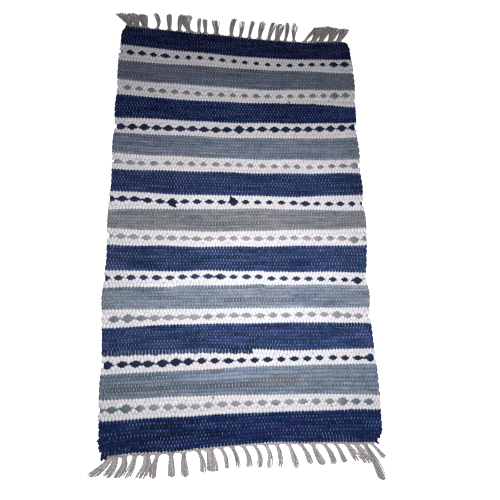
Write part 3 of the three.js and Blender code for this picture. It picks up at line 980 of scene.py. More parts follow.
# %% Rag ends
RAG_ENDS = table(
    "x y points long half curl dye",
    [
        (-158, 31, -45, 11, 2.9, 20, "ink"),
        (-21, 43, 98, 13, 3.4, 15, "ink"),
        (-16, 44, 40, 5, 2.2, 30, "ink"),
        (-47, -140, 162, 13, 2.2, -15, "ink"),
        (262, -146, 215, 7, 2.0, 0, "sea"),
        (278, -145, 3, 18, 1.0, 5, "sea"),
        (-238, -72, 90, 5, 2.3, 0, "sea"),
        (-178, -252, 90, 4.5, 2.0, 0, "sea"),
        (199, -250, 95, 5, 2.0, 0, "sea"),
        (18, -301, -75, 6, 2.7, 50, "sea"),
        (48, -160, 75, 4.5, 1.6, 0, "slate"),
        (-66, -393, -80, 5, 1.5, 30, "slate"),
        (193, -421, -50, 4, 1.0, 0, "ink"),
        (234, -435, 88, 9, 1.0, -60, "ink"),
        (-291, -467, 190, 9, 3.0, 20, "sea"),
        (-285, -497, -115, 11, 3.6, 20, "sea"),
        (-280, -499, -100, 7, 3.2, 20, "sea"),
        (288, -499, -25, 9, 2.6, -20, "ink"),
        (126, 305, 90, 4.5, 2.0, 0, "sea"),
        (-291, -431, 182, 12, 0.7, 0, "slate"),
    ],
)
END_SHAPE = np.array([0.8, 1.05, 1.1, 0.95, 0.6, 0.2])
END_HEIGHTS = np.array([5.0, 6.1, 6.7, 6.7, 6.5, 6.2])
END_SIDES = 8
END_FLATNESS = 0.8
END_THICKEST = 1.4
END_STAIN = 0.8
# Where each end starts along the rag's pattern, so that no two are dyed alike.
FIRST_ALONG, ALONG_STEP = 9000, 40
SEED_TURN = 0.37


def rag_end(end, seed):
    """A short loose end as a tube that rises out of the weave and thins towards its tip."""
    steps = len(END_SHAPE)
    headings = np.radians(end["points"] + end["curl"] * np.linspace(0, 1, steps))
    ahead = np.stack([np.cos(headings), np.sin(headings)], 1) * end["long"] / (steps - 1)
    places = np.array([end["x"], end["y"]]) + np.cumsum(ahead, axis=0) - ahead[0]
    path = np.column_stack([places, END_HEIGHTS])
    wide = END_SHAPE * end["half"]
    along = np.linspace(0, end["long"], steps) + FIRST_ALONG + ALONG_STEP * seed
    rings = ring_points(path, wide, np.minimum(wide * END_FLATNESS, END_THICKEST), END_SIDES)
    return tube(rings, along, seed * SEED_TURN % 1, 0.0, (*ODD_DYES[end["dye"]], END_STAIN))


rag_ends_piece = join_tubes("rag_ends", [rag_end(end, k) for k, end in enumerate(RAG_ENDS)])

# %% [markdown]
# ## The warp
#
# The warp ends are thin, strong cotton. They bend much less than the rags do: up over a notch,
# down under an oval. A three-sided yarn with smooth shading is enough for dashes one millimetre
# wide, and all 165 ends fit in one mesh. This mesh runs through the whole cloth. A fat stretch of
# rag hides the warp and a thin one shows it, and the navy rags have bled into the yarn that
# crosses them.

# %% Warp heights
YARN_HALF = {"navy": 0.47, "grey": 0.6, "white": 0.58}
YARN_DEEP = 2.5
OVER_HEIGHT = {"navy": 4.65, "grey": 4.95, "white": 4.9}
DEEPER = {1: 0.15, 5: 0.05, 21: 0.25}
OVER_CHANCE = 0.2
UNDER_HEIGHT = 2.2
FLOAT_UNDER = 2.4
TUCK_HEIGHT = 2.3
OVER_STEP = 1.5
TUCK = 2.4
BLED = (0.38, 0.48, 0.76, 0.9)
NOT_BLED = (0, 0, 0, 0)
LONG_DRIFT, LONG_WAVE = 0.42, 47
SHORT_DRIFT, SHORT_WAVE = 0.3, 19
DRIFT_SINK = 0.1
SIDE_CHANCE = 0.12
THICK_SHARE = 0.05


def drift(x, number):
    """How far the ends rise and sink along a pick."""
    long_start, short_start = chance_for("drift", number).uniform(0, 6, 2)
    long_wave = LONG_DRIFT * np.sin(x / LONG_WAVE + long_start)
    return long_wave + SHORT_DRIFT * np.sin(x / SHORT_WAVE + short_start) - DRIFT_SINK


def end_stray(outward, x):
    """How far the far end (outward 1) or the near end (outward -1) strays up from its curve."""
    return stray(0, x) if outward > 0 else stray(len(STRIPES), x) - sag(x)


def end_line(line, outward, x):
    """The y of the far end (outward 1) or the near end (outward -1) at x."""
    return bow(line, x) + end_stray(outward, x)


def warp_rows():
    """The warp at each pick from the far end: its x, y, height, lie and stripe colour."""
    rows = []
    for i, stripe in enumerate(STRIPES):
        colour = stripe["colour"].split("_")[0]
        for pick in range(stripe["picks"]):
            x = warp_places(line_at(i, (pick + 0.5) / stripe["picks"]))
            upper, lower = pick_borders(i, pick, x)
            middle = (upper + lower) / 2
            if i in white_rows and pick == FLOAT_PICK:
                rows.append((x, middle, np.full(ENDS, FLOAT_UNDER), np.zeros(ENDS, bool), colour))
                continue
            over = (np.arange(ENDS) + plain_number[i, pick]) % 2 == 0
            top = OVER_HEIGHT[colour] - DEEPER.get(i + 1, 0) + drift(x, PICKS_APART * i + pick)
            rows.append((x, middle, np.where(over, top, UNDER_HEIGHT), over, colour))
    return rows


# %% [markdown]
# Each end runs down through all the picks. Over a notch it has two points, so that the dash
# has a flat top, and under an oval it has one. Both ends are tucked in below the headings.

# %% Warp ends
def warp_end(rows, end):
    """One warp end as a tube from the far heading to the near one."""
    chance = chance_for("ends", end)
    first_x, last_x = rows[0][0][end], rows[-1][0][end]
    places = [[first_x, end_line(FAR_EDGE, 1, first_x) + TUCK, TUCK_HEIGHT]]
    crossed = ["navy"]
    for x, y, z, over, colour in rows:
        rise = chance.normal(0, OVER_CHANCE) if over[end] else 0
        for step in (OVER_STEP, -OVER_STEP) if over[end] else (0,):
            places.append([x[end], y[end] + step, z[end] + rise])
            crossed.append(colour)
    places.append([last_x, end_line(edges[-1], -1, last_x) - TUCK, TUCK_HEIGHT])
    crossed.append("navy")
    path = np.array(places)
    path[1:-1, 0] += chance.normal(0, SIDE_CHANCE, len(path) - 2)
    thick = np.array([YARN_HALF[colour] for colour in crossed]) * chance.normal(1, THICK_SHARE)
    bled = np.array([BLED if colour == "navy" else NOT_BLED for colour in crossed])
    rings = ring_points(path, thick, thick * YARN_DEEP, 3, np.pi / 3)
    return tube(rings, -path[:, 1] + 500, chance.random(), 0.0, bled)


rows = warp_rows()
warp_piece = join_tubes("warp_ends", [warp_end(rows, end) for end in range(ENDS)])

# %% [markdown]
# ## Headings
#
# Each end is locked by a twisted cord of warp yarn, worked across the ends so that the last pick
# can't slip. Two plies that wind round each other make it.

# %% Twisted headings
FAR_OFF = 2.4
NEAR_OFF = 2.8
FAR_HEIGHT = 2.15
NEAR_HEIGHT = 3.3
FAR_PLY = 0.75
NEAR_PLY = 1.4
PLY_TURN = 8.5
PLY_SIDES = 6
PLY_STEP = 1.25
PLY_APART = 0.85
PLY_INSET = 3
PLY_SWAY, SWAY_WAVE = 0.25, 17
PLY_SWELL, SWELL_WAVE = 0.12, 11
PLY_CHANCE = 0.04


def heading_plies(line, outward, seed, thickness, off, height):
    """Two plies that wind round each other, off from the end's line and at a height."""
    chance = np.random.default_rng(seed)
    x = np.arange(-selvedge(line, 0) + PLY_INSET, selvedge(line, 1) - PLY_INSET, PLY_STEP)
    plies = []
    for ply in range(2):
        angle = x / PLY_TURN * 2 * np.pi + ply * np.pi
        y = end_line(line, outward, x) + outward * (off + PLY_APART * thickness * np.cos(angle))
        y = y + PLY_SWAY * np.sin(x / SWAY_WAVE + seed)
        z = height + PLY_APART * thickness * np.sin(angle)
        path = np.stack([x, y, z], 1)
        swell = 1 + PLY_SWELL * np.sin(x / SWELL_WAVE + ply)
        thick = thickness * (swell + chance.normal(0, PLY_CHANCE, len(x)))
        plies.append(tube(ring_points(path, thick, thick, PLY_SIDES), x, chance.random()))
    return plies


far_plies = heading_plies(FAR_EDGE, 1, 21, FAR_PLY, FAR_OFF, FAR_HEIGHT)
near_plies = heading_plies(edges[-1], -1, 22, NEAR_PLY, NEAR_OFF, NEAR_HEIGHT)
far_heading = join_tubes("far_heading", far_plies)
near_heading = join_tubes("near_heading", near_plies)

# %% [markdown]
# ## The fringe
#
# The cut warp ends are left in bunches. Each row below is one tassel from left to right: its
# root, how far its tip lies to the right of it, how far out it reaches, the width of its tip and
# how far it bows to the right. A twisted yarn is an oval that turns as it goes along, which
# costs a third of two separate plies and looks the same.

# %% Tassel tables
TASSEL_COLUMNS = "at lean reach flare bow loose"
FAR_TASSELS = table(
    TASSEL_COLUMNS,
    [
        (-271, -26, 38, 32, 1, 0.1),
        (-257, -13, 41, 28, 1, 0.1),
        (-237, -7, 42, 25, 0, 0.1),
        (-208, -4, 49, 13, 6, 0.1),
        (-176, -2, 51, 15, 0, 0.1),
        (-151, 5, 53, 15, -2, 0.1),
        (-123, -7, 54, 24, -8, 0.3),
        (-101, 1, 48, 10, -1, 0.4),
        (-85, -1, 46, 13, 0, 0.2),
        (-56, -3, 45, 19, 0, 1.4),
        (-18, 9, 55, 15, -3, 0.6),
        (4, 8, 49, 14, 1, 0.5),
        (28, 11, 52, 11, -1, 0.2),
        (55, 12, 52, 17, -2, 0.2),
        (79, 17, 52, 16, -1, 0.3),
        (102, 13, 48, 22, -2, 0.5),
        (123, 10, 54, 13, 2, 0.4),
        (148, 4, 50, 13, -2, 1.5),
        (175, 34, 44, 14, -1, 0.3),
        (199, 26, 46, 26, -1, 0.3),
        (218, 26, 48, 26, 0, 0.3),
        (245, 18, 45, 28, 1, 0.1),
        (265, 24, 43, 28, 3, 0.1),
    ],
)
NEAR_TASSELS = table(
    TASSEL_COLUMNS,
    [
        (-268, -36, 37, 22, 3, 0.15),
        (-261, -15, 40, 18, 4, 0.4),
        (-246, -11, 42, 18, 7, 0.3),
        (-222, -15, 43, 16, 2, 0.2),
        (-201, -8, 46, 24, 5, 0.6),
        (-177, -10, 48, 14, -2, 0.1),
        (-151, 2, 47.5, 16, 0, 0.1),
        (-125, 4, 50, 16, -1, 0.2),
        (-97, 12, 46, 13, 4, 0.1),
        (-73, 8, 47, 25, 1, 0.1),
        (-50, 14, 44, 10, 4, 0.2),
        (-27, 15, 43, 11, 3, 0.3),
        (-3, 14, 44, 13, 5, 0.7),
        (20, 12, 46, 12, 7, 0.3),
        (45, 8, 47, 13, 6, 0.5),
        (69, 7, 47, 13, 4, 0.6),
        (95, 16, 50, 13, 2, 0.2),
        (120, 22, 43, 14, 3, 0.1),
        (147, 21, 45, 17, -1, 0.1),
        (171, 22, 45, 15, 4, 0.1),
        (197, 20, 42, 14, 2, 0.1),
        (221, 25, 37, 20, 1, 0.5),
        (241, 29, 44, 24, 2, 0.6),
        (261, 37, 77, 19, 4, 0.3),
        (277, 28, 32, 10, 1, 0.2),
    ],
)

# %% [markdown]
# The yarns of a tassel leave the heading side by side, are drawn together just outside it and
# fan out again towards their cut tips, some straighter than others. They come down from the
# height of the heading and then lie on the floor, a third of them on top of the rest.

# %% Fringe yarn sizes
YARN_WIDE = 1.5
YARN_THIN = 1.05
YARN_SIDES = 6
YARN_STEP = 2.0
YARN_TURN = 6.5
YARN_PITCH = 1.4
FEWEST_YARNS, MOST_YARNS = 9, 19
FAR_ROOT = 2.1
ROOT_HEIGHT = 2.4
ROOT_REACH = 6.5
ROOT_PITCH = 0.7
HEADING_PITCH = 1.6
DROP_REACH = 9
TIP_ROUNDING = 0.09
TIP_THINNING = 0.25
LOWER_LAYER = 0.95
LAYER_STEP = 1.15
FLOOR_GAP = 0.05
OPEN_FROM, OPEN_BEND = 0.6, 0.8
WAVE_TURNS = (1.2, 2.4)
SETTLE = 0.6
THICK_SPREAD = 0.08
YARN_LENGTH = 60.0
# How far the tips, the waves and the lie of the yarns differ, tight and for each step looser.
TIP_CHANCE = (0.7, 1.5)
WAVE_CHANCE = (0.25, 1.1)
LIE_CHANCE = (0.2, 0.6)


def spread_of(chances, loose):
    return chances[0] + chances[1] * loose


def twist_yarn(path, rings, turn):
    """Turns each oval ring about its path."""
    ahead = np.gradient(path, axis=0)
    ahead /= np.linalg.norm(ahead, axis=1, keepdims=True)
    arm = rings - path[:, None]
    c, s = np.cos(turn)[:, None, None], np.sin(turn)[:, None, None]
    crossed = np.cross(np.broadcast_to(ahead[:, None], arm.shape), arm)
    return path[:, None] + arm * c + crossed * s


# %% [markdown]
# place counts the yarns of a tassel from its middle. Each yarn starts at its place on the
# heading, closes up to its neighbours, and opens out again by its share of the flare.

# %% Tassels
def tassel_yarns(tassel, line, outward, seed):
    """The yarns of one tassel, drawn together at the root and loose at the tip."""
    chance = np.random.default_rng(seed)
    count = int(np.clip(round(tassel["flare"] / YARN_PITCH), FEWEST_YARNS, MOST_YARNS))
    # The reach is measured from the end's own curve, so the tips stay in line where it strays.
    line_number = 0 if outward > 0 else len(STRIPES)
    reach = tassel["reach"] - outward * stray(line_number, tassel["at"])
    root = FAR_ROOT if outward > 0 else NEAR_OFF
    loose = tassel["loose"]
    yarns = []
    for k in range(count):
        place = k - (count - 1) / 2
        length = reach * (1 - TIP_ROUNDING * (2 * place / count) ** 2)
        length = length + chance.normal(0, spread_of(TIP_CHANCE, loose))
        steps = max(int(abs(length) / YARN_STEP), 10)
        t = np.linspace(0, 1, steps + 1)
        out = t * length
        gather = ease(out / ROOT_REACH)
        aside = place * (HEADING_PITCH * (1 - gather) + ROOT_PITCH * gather)
        opens = ROOT_REACH * OPEN_FROM
        open_out = ease((out - opens) / (length - opens)) ** OPEN_BEND
        aside = aside + place * (tassel["flare"] / count - ROOT_PITCH) * open_out
        wave = chance.normal(0, spread_of(WAVE_CHANCE, loose))
        aside = aside + wave * np.sin(t * np.pi * chance.uniform(*WAVE_TURNS)) * open_out
        aside = aside + chance.normal(0, spread_of(LIE_CHANCE, loose)) * open_out
        x = tassel["at"] + aside + tassel["lean"] * t + tassel["bow"] * np.sin(np.pi * t)
        y = end_line(line, outward, tassel["at"] + aside * (1 - t)) + outward * (root + out)
        on_top = (k * 2 + seed) % 3 == 0
        lie = LOWER_LAYER + (LAYER_STEP if on_top else 0) * (1 - SETTLE * t)
        z = ROOT_HEIGHT + (lie - ROOT_HEIGHT) * ease(out / DROP_REACH)
        path = np.stack([x, y, z], 1)
        turn = np.cumsum(np.full(len(t), length / steps)) / YARN_TURN * np.pi + chance.uniform(0, 3)
        thick = chance.normal(1, THICK_SPREAD) * (1 - TIP_THINNING * t**6)
        rings = ring_points(path, YARN_WIDE * thick, YARN_THIN * thick, YARN_SIDES)
        rings = twist_yarn(path, rings, turn)
        rings[..., 2] = np.maximum(rings[..., 2], FLOOR_GAP)
        yarns.append(tube(rings, out + YARN_LENGTH * k, chance.random(), 1 - t))
    return yarns


def fringe(name, tassels, line, outward, seed):
    """All the tassels of one end as one piece."""
    yarns = []
    for k, tassel in enumerate(tassels):
        yarns += tassel_yarns(tassel, line, outward, seed + k)
    return join_tubes(name, yarns)


far_fringe = fringe("far_fringe", FAR_TASSELS, FAR_EDGE, 1, 5000)
near_fringe = fringe("near_fringe", NEAR_TASSELS, edges[-1], -1, 6000)

# %% [markdown]
# ## Cotton finishes
#
# All the rags were once other cloth, so no two lengths have quite the same dye. Three node groups
# are shared. One gives masks for patches, streaks and flecks that run along a strip. One gives the
# creases and the thread of the rag as heights for bump. One gives the twist and fluff of a yarn,
# with painted shade in the grooves of the twist.
# A few helpers keep the node trees short: each of them takes sockets or plain values.

# %% Node helpers
def feed(tree, socket, value):
    """Gives a socket a number, a colour or a link from another socket."""
    if isinstance(value, (int, float)):
        socket.default_value = value
    elif isinstance(value, tuple):
        socket.default_value = (*value, 1)
    else:
        tree.links.new(value, socket)


def calc(tree, first, second, operation="MULTIPLY", clamp=False):
    node = tree.nodes.new("ShaderNodeMath")
    node.operation = operation
    node.use_clamp = clamp
    feed(tree, node.inputs[0], first)
    feed(tree, node.inputs[1], second)
    return node.outputs[0]


def noise(tree, x, y, z, detail=2.0, roughness=0.5):
    """Noise over three numbers."""
    combine = tree.nodes.new("ShaderNodeCombineXYZ")
    for socket, value in zip(combine.inputs, (x, y, z)):
        feed(tree, socket, value)
    node = tree.nodes.new("ShaderNodeTexNoise")
    node.inputs["Scale"].default_value = 1
    node.inputs["Detail"].default_value = detail
    node.inputs["Roughness"].default_value = roughness
    tree.links.new(combine.outputs[0], node.inputs["Vector"])
    return node.outputs["Fac"]


def between(tree, value, low, high):
    """Maps low..high of a value smoothly to 0..1."""
    node = tree.nodes.new("ShaderNodeMapRange")
    node.interpolation_type = "SMOOTHSTEP"
    node.inputs["From Min"].default_value = low
    node.inputs["From Max"].default_value = high
    tree.links.new(value, node.inputs["Value"])
    return node.outputs["Result"]


def ramp(tree, value, stops):
    """Colours along a value. stops is a list of (place, colour)."""
    node = tree.nodes.new("ShaderNodeValToRGB")
    points = node.color_ramp.elements
    while len(points) < len(stops):
        points.new(0.5)
    for point, (place, colour) in zip(points, stops):
        point.position = place
        point.color = (*colour, 1)
    tree.links.new(value, node.inputs["Fac"])
    return node.outputs["Color"]


def blend(tree, share, first, second):
    """Mixes a share of the second colour into the first."""
    node = tree.nodes.new("ShaderNodeMix")
    node.data_type = "RGBA"
    first_in, second_in = (s for s in node.inputs if s.type == "RGBA")
    for socket, value in ((node.inputs[0], share), (first_in, first), (second_in, second)):
        feed(tree, socket, value)
    return [s for s in node.outputs if s.type == "RGBA"][0]


def kept_value(tree, name):
    """The node that reads a value which the mesh keeps at its points."""
    node = tree.nodes.new("ShaderNodeAttribute")
    node.attribute_name = name
    return node


# %% [markdown]
# A node group has its inputs and outputs declared before it is filled. The number of a strip,
# its Seed, moves the noise to a place of its own, so that no two strips share a pattern.

# %% Group helpers
NUMBER_SOCKET = "NodeSocketFloat"
STRIP_INPUTS = {"Along": 0.0, "Around": 0.0, "Seed": 0.0}


def new_group(name, inputs, outputs):
    """A shader node group with float inputs and outputs, and its two end nodes."""
    group = bpy.data.node_groups.new(name, "ShaderNodeTree")
    for label, value in inputs.items():
        socket = group.interface.new_socket(label, in_out="INPUT", socket_type=NUMBER_SOCKET)
        socket.default_value = value
    for label in outputs:
        group.interface.new_socket(label, in_out="OUTPUT", socket_type=NUMBER_SOCKET)
    return group, group.nodes.new("NodeGroupInput"), group.nodes.new("NodeGroupOutput")


def strip_noise(group, source, per_metre, round_by, own, detail, roughness=0.5):
    """Noise along and round a strip. per_metre may be a plain number or a length as a socket."""
    operation = "MULTIPLY" if isinstance(per_metre, float) else "DIVIDE"
    along = calc(group, source.outputs["Along"], per_metre, operation)
    around = calc(group, source.outputs["Around"], round_by)
    return noise(group, along, around, own, detail, roughness)


# %% [markdown]
# Long soft noise gives the patches of near dyes, shorter noise the streaks of a folded rag,
# and the tips of the finest noise the flecks of thread.

# %% Rag dye group
dye_group, dye_in, dye_out = new_group(
    "rag dye", {**STRIP_INPUTS, "Patch Length": 0.1}, ("Patch", "Streak", "Fleck")
)
own = calc(dye_group, dye_in.outputs["Seed"], 57.0)
patch = strip_noise(dye_group, dye_in, dye_in.outputs["Patch Length"], 0.8, own, 2)
streak = strip_noise(dye_group, dye_in, 45.0, 9.0, own, 3, 0.65)
fleck = strip_noise(dye_group, dye_in, 260.0, 14.0, own, 1)
dye_group.links.new(between(dye_group, patch, 0.32, 0.68), dye_out.inputs["Patch"])
dye_group.links.new(between(dye_group, streak, 0.28, 0.72), dye_out.inputs["Streak"])
dye_group.links.new(between(dye_group, fleck, 0.66, 0.76), dye_out.inputs["Fleck"])

# %% [markdown]
# The relief is three parts creases to one part thread.

# %% Rag relief group
relief_group, relief_in, relief_out = new_group("rag relief", STRIP_INPUTS, ("Height",))
own = calc(relief_group, relief_in.outputs["Seed"], 83.0)
fold = strip_noise(relief_group, relief_in, 130.0, 7.0, own, 2)
thread = strip_noise(relief_group, relief_in, 1500.0, 30.0, own, 1)
fold_part = calc(relief_group, fold, 0.75)
thread_part = calc(relief_group, thread, 0.25)
height = calc(relief_group, fold_part, thread_part, "ADD")
relief_group.links.new(height, relief_out.inputs["Height"])

# %% [markdown]
# The twist is a wave that climbs round the yarn as it goes along. Its ridges make the bump, and
# in the colour the grooves between them are darkened as painted shade. Fluff roughens it, and
# soil changes its shade over a hand's width.

# %% Yarn twist group
twist_group, twist_in, twist_out = new_group(
    "yarn twist", {**STRIP_INPUTS, "Turns": 300.0}, ("Shade", "Height")
)
own = calc(twist_group, twist_in.outputs["Seed"], 31.0)
turns = calc(twist_group, twist_in.outputs["Along"], twist_in.outputs["Turns"])
phase = calc(twist_group, calc(twist_group, twist_in.outputs["Around"], 2.0), turns, "ADD")
wave = calc(twist_group, calc(twist_group, phase, 6.2832), 0.0, "SINE")
fluff = strip_noise(twist_group, twist_in, 400.0, 6.0, own, 2)
soil = noise(twist_group, calc(twist_group, twist_in.outputs["Along"], 22.0), 0.0, own, 2)
ridge = calc(twist_group, calc(twist_group, wave, 0.25), 0.5, "ADD")
height = calc(twist_group, ridge, calc(twist_group, fluff, 0.5), "ADD")
# Painted shade: the grooves of the twist are darker in the colour, mixed with soil.
ridge_shade_part = calc(twist_group, ridge, 0.35)
soil_part = calc(twist_group, soil, 0.65)
shade = calc(twist_group, ridge_shade_part, soil_part, "ADD")
twist_group.links.new(between(twist_group, shade, 0.3, 0.7), twist_out.inputs["Shade"])
twist_group.links.new(height, twist_out.inputs["Height"])

# %% [markdown]
# ## Rag materials
#
# Every rag finish has the same build: a ramp of near dyes picked by the patches, darker and
# lighter streaks, thread flecks, and a slow change over the rug, since one stripe of a rag rug
# never matches the next. Stains of another dye come from the mesh, and where a rag is held
# down between two ovals its colour is darkened as painted shade.

# %% Material helpers
def place_group(tree, group, **values):
    """Places a node group and feeds it the along, around and seed numbers of the mesh."""
    node = tree.nodes.new("ShaderNodeGroup")
    node.node_tree = group
    for label in STRIP_INPUTS:
        tree.links.new(kept_value(tree, label.lower()).outputs["Fac"], node.inputs[label])
    for label, value in values.items():
        node.inputs[label.replace("_", " ")].default_value = value
    return node


def cotton(name, roughness=0.92, sheen=0.04):
    """A dull cotton material, with its node tree and its shader."""
    material = bpy.data.materials.new(name)
    material.use_nodes = True
    tree = material.node_tree
    shader = tree.nodes["Principled BSDF"]
    shader.inputs["Roughness"].default_value = roughness
    shader.inputs["Sheen Weight"].default_value = sheen
    shader.inputs["Sheen Roughness"].default_value = 0.6
    shader.inputs["Specular IOR Level"].default_value = 0.1
    return material, tree, shader


def add_bump(tree, shader, height, distance, strength):
    node = tree.nodes.new("ShaderNodeBump")
    node.inputs["Strength"].default_value = strength
    node.inputs["Distance"].default_value = distance
    tree.links.new(height, node.inputs["Height"])
    tree.links.new(node.outputs["Normal"], shader.inputs["Normal"])


def slow_change(tree, scale, seed):
    """A soft change of colour over the rug."""
    place = tree.nodes.new("ShaderNodeTexCoord")
    split = tree.nodes.new("ShaderNodeSeparateXYZ")
    tree.links.new(place.outputs["Object"], split.inputs[0])
    across = calc(tree, split.outputs["X"], scale)
    down = calc(tree, split.outputs["Y"], scale * 2.2)
    return between(tree, noise(tree, across, down, seed, 1), 0.3, 0.7)


# %% [markdown]
# The finishes differ in a few numbers. spread is how far the patches go from the middle dye,
# streaks and flecks are how strongly those show, the column after flecks how strongly the
# painted shade in the notches shows, other_share how much of a second dye comes in over the rug,
# and patch_length is in metres. Each patch turns the dye darker, greener, more violet or brighter.

# %% Finish tables
FINISHES = table(
    "kind spread streaks other_share fleck flecks pressed patch_length",
    [
        ("navy", 0.95, 0.5, 0.6, (0.16, 0.18, 0.32), 0.3, 0.3, 0.07),
        ("grey", 0.5, 0.5, 0.7, (0.5, 0.5, 0.55), 0.3, 0.55, 0.07),
        ("white", 0.06, 0.12, 0.5, (0.70, 0.55, 0.64), 0.35, 0.1, 0.07),
        ("lozenge grey", 0.3, 0.25, 0.5, (0.4, 0.4, 0.42), 0.15, 0.0, 0.03),
        ("lozenge navy", 0.5, 0.25, 0.5, (0.2, 0.2, 0.3), 0.1, 0.0, 0.03),
    ],
)
OTHER_DYE = {"navy": (1.5, 1.1, 1.2), "grey": (1.0, 1.02, 0.85)}
PATCH_TURNS = [
    (0.0, (-0.65, -0.60, -0.50)),
    (0.25, (-0.35, -0.05, -0.10)),
    (0.5, (0.0, 0.05, 0.0)),
    (0.75, (0.30, -0.05, 0.20)),
    (1.0, (0.80, 0.75, 0.60)),
]
# The middle dye of each navy and grey stripe, counted from the far end. They are lightest in
# stripes 11 to 17 and darker towards both ends.
DYES = {
    1: (0.0093, 0.0195, 0.084),
    3: (0.178, 0.203, 0.287),
    5: (0.01, 0.0263, 0.105),
    7: (0.208, 0.243, 0.323),
    9: (0.0233, 0.05, 0.13),
    11: (0.258, 0.265, 0.305),
    13: (0.03, 0.06, 0.145),
    15: (0.258, 0.305, 0.388),
    17: (0.0355, 0.067, 0.162),
    19: (0.231, 0.282, 0.394),
    21: (0.0137, 0.0345, 0.119),
}
PALER, PALE_LIFT = 1.9, 0.02
DEEPER_STREAK = 0.45
# The colour of the painted shade in a notch, as a share of the dye.
NOTCH_SHADE_TONE = 0.25
RELIEF_DEPTH, RELIEF_STRENGTH = 0.0009, 0.7
YARN_STRENGTH = 0.8
LIGHT_STREAKS = (0.6, 1.0)
DEEP_STREAKS = (0.4, 0.0)
CHANGE_SCALE, CHANGE_SEED = 5.0, 3.3


# %% [markdown]
# Each layer is blended over the one before, from the dye up to the shade of the notches.

# %% Rag materials
def rag_material(name, kind, dye, other):
    """A finish of one kind: dye is its middle colour, and other a second dye in places."""
    finish = next(row for row in FINISHES if row["kind"] == kind)
    material, tree, shader = cotton(name)
    mask = place_group(tree, dye_group, Patch_Length=finish["patch_length"])
    patch, streak, fleck = (mask.outputs[label] for label in ("Patch", "Streak", "Fleck"))
    dye = np.array(dye)
    stops = []
    for place, turn in PATCH_TURNS:
        stops.append((place, tuple(dye * (1 + finish["spread"] * np.array(turn)))))
    base = ramp(tree, patch, stops)
    where = calc(tree, slow_change(tree, CHANGE_SCALE, CHANGE_SEED), finish["other_share"])
    base = blend(tree, where, base, other)
    light = calc(tree, between(tree, streak, *LIGHT_STREAKS), finish["streaks"])
    base = blend(tree, light, base, tuple(dye * PALER + PALE_LIFT))
    deep = calc(tree, between(tree, streak, *DEEP_STREAKS), finish["streaks"])
    base = blend(tree, deep, base, tuple(dye * DEEPER_STREAK))
    base = blend(tree, calc(tree, fleck, finish["flecks"]), base, finish["fleck"])
    # A stain is streaky, as the rag's own dye is.
    stain = kept_value(tree, "stain")
    mottle = calc(tree, calc(tree, streak, 0.5), 0.75, "ADD", clamp=True)
    base = blend(tree, calc(tree, stain.outputs["Alpha"], mottle), base, stain.outputs["Color"])
    # Painted shade: the colour darkens where the warp holds the rag down in a notch.
    pressed = calc(tree, kept_value(tree, "pressed").outputs["Fac"], finish["pressed"])
    base = blend(tree, pressed, base, tuple(dye * NOTCH_SHADE_TONE))
    tree.links.new(base, shader.inputs["Base Color"])
    relief = place_group(tree, relief_group)
    add_bump(tree, shader, relief.outputs["Height"], RELIEF_DEPTH, RELIEF_STRENGTH)
    return material


rag_finish = {}
for number, dye in DYES.items():
    kind = STRIPES[number - 1]["colour"]
    other = tuple(np.array(dye) * OTHER_DYE[kind])
    rag_finish[number] = rag_material(f"{kind} rag {number}", kind, dye, other)
white = rag_material("white rag", "white", (0.86, 0.85, 0.86), (0.84, 0.81, 0.86))
lozenge_grey = rag_material(
    "lozenge grey rag", "lozenge grey", (0.32, 0.315, 0.335), (0.30, 0.33, 0.36)
)
lozenge_navy = rag_material(
    "lozenge navy rag", "lozenge navy", (0.026, 0.037, 0.088), (0.030, 0.038, 0.08)
)

# %% [markdown]
# The warp and the fringe are plain cotton yarn, pale on the ridges of the twist and darker
# between them, where the darker colour is painted shade in the grooves of the twist, mixed with
# soil. The fringe's dark is deeper and browner than the warp's. The stain that the mesh keeps is
# what the navy rags have bled into the warp.

# %% Yarn materials
def yarn_material(name, dark, pale, turns, bump):
    """A twisted cotton yarn, with its bump in metres."""
    material, tree, shader = cotton(name, 0.9, 0.05)
    twist = place_group(tree, twist_group, Turns=turns)
    # The ramp runs from painted shade and soil in the grooves of the twist to the pale yarn.
    base = ramp(tree, twist.outputs["Shade"], [(0.0, dark), (1.0, pale)])
    stain = kept_value(tree, "stain")
    base = blend(tree, stain.outputs["Alpha"], base, stain.outputs["Color"])
    tree.links.new(base, shader.inputs["Base Color"])
    add_bump(tree, shader, twist.outputs["Height"], bump, YARN_STRENGTH)
    return material


warp_cotton = yarn_material("warp cotton", (0.46, 0.48, 0.58), (0.70, 0.71, 0.80), 260.0, 0.0003)
fringe_cotton = yarn_material("fringe cotton", (0.245, 0.22, 0.20), (0.87, 0.83, 0.86), 300.0, 0.0004)
print("materials:", len(bpy.data.materials))

# %% [markdown]
# Each piece now gets its finish, so that whoever reuses the rug can change a colour in one
# place.

# %% Dress the pieces
for number, (stripe, piece) in enumerate(zip(STRIPES, stripe_pieces), 1):
    piece.data.materials.append(rag_finish.get(number, white))
for i, piece in lozenge_pieces.items():
    is_navy = STRIPES[i]["colour"].endswith("navy")
    piece.data.materials.append(lozenge_navy if is_navy else lozenge_grey)
rag_ends_piece.data.materials.append(lozenge_navy)
warp_piece.data.materials.append(warp_cotton)
yarn_pieces = [far_heading, near_heading, far_fringe, near_fringe]
for piece in yarn_pieces:
    piece.data.materials.append(fringe_cotton)

# %% [markdown]
# ## Floor and light
#
# The rug lies on a plain, nearly white floor. One large soft lamp hangs over its near half and
# a little to the right, so the far end and the far left corner are darker, as in the photo.

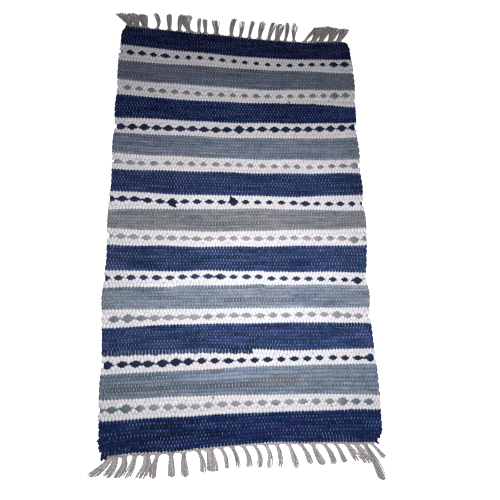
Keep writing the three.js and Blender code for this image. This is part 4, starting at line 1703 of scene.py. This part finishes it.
# %% Floor
bpy.ops.mesh.primitive_plane_add(size=6, location=(0, 0, 0))
floor = bpy.context.object
floor.name = "studio_floor"
floor_material = bpy.data.materials.new("pale floor")
floor_material.use_nodes = True
floor_shader = floor_material.node_tree.nodes["Principled BSDF"]
floor_shader.inputs["Base Color"].default_value = (0.9, 0.9, 0.9, 1)
floor_shader.inputs["Roughness"].default_value = 0.9
floor_shader.inputs["Emission Color"].default_value = (1, 1, 1, 1)
floor_shader.inputs["Emission Strength"].default_value = 0.8
floor.data.materials.append(floor_material)

# %% [markdown]
# The lamp is a disc that shines straight down in a narrowed cone, so the light falls off
# towards the far end. The sky adds only a faint cool fill.

# %% Light
LAMP_PLACE = (0.035, -0.158, 0.9)
LAMP_SIZE = 0.2
LAMP_SPREAD = 132
LAMP_POWER = 4.2
SKY_COLOUR = (0.86, 0.88, 1.0, 1)
SKY_POWER = 0.05

lamp_data = bpy.data.lights.new("overhead_softbox", "AREA")
lamp_data.shape = "DISK"
lamp_data.size = LAMP_SIZE
lamp_data.spread = math.radians(LAMP_SPREAD)
lamp_data.energy = LAMP_POWER
lamp = bpy.data.objects.new("overhead_softbox", lamp_data)
lamp.location = LAMP_PLACE
bpy.context.scene.collection.objects.link(lamp)

world = bpy.data.worlds.new("studio")
world.use_nodes = True
sky = world.node_tree.nodes["Background"]
sky.inputs["Color"].default_value = SKY_COLOUR
sky.inputs["Strength"].default_value = SKY_POWER
bpy.context.scene.world = world
bpy.context.scene.view_settings.view_transform = "Standard"
bpy.context.scene.view_settings.look = "Medium High Contrast"

# %% [markdown]
# ## The rug's body
#
# Every piece rides on the one body of the rug. The picks, the lozenges and the warp stand for
# the imported cloth, and each heading and fringe for its own imported piece.

cloth_pieces = [*stripe_pieces, *lozenge_pieces.values(), rag_ends_piece]
all_pieces = [warp_piece, *cloth_pieces, *yarn_pieces]
for piece in all_pieces:
    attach(piece, "root")
for piece in [warp_piece, *cloth_pieces]:
    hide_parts("cloth")
for piece, node in zip(yarn_pieces, ("fringe_far", "fringe_near", "fringe_far", "fringe_near")):
    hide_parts(node)
total = sum(len(face.vertices) - 2 for piece in all_pieces for face in piece.data.polygons)
print("pieces:", len(all_pieces), "triangles in all:", total)
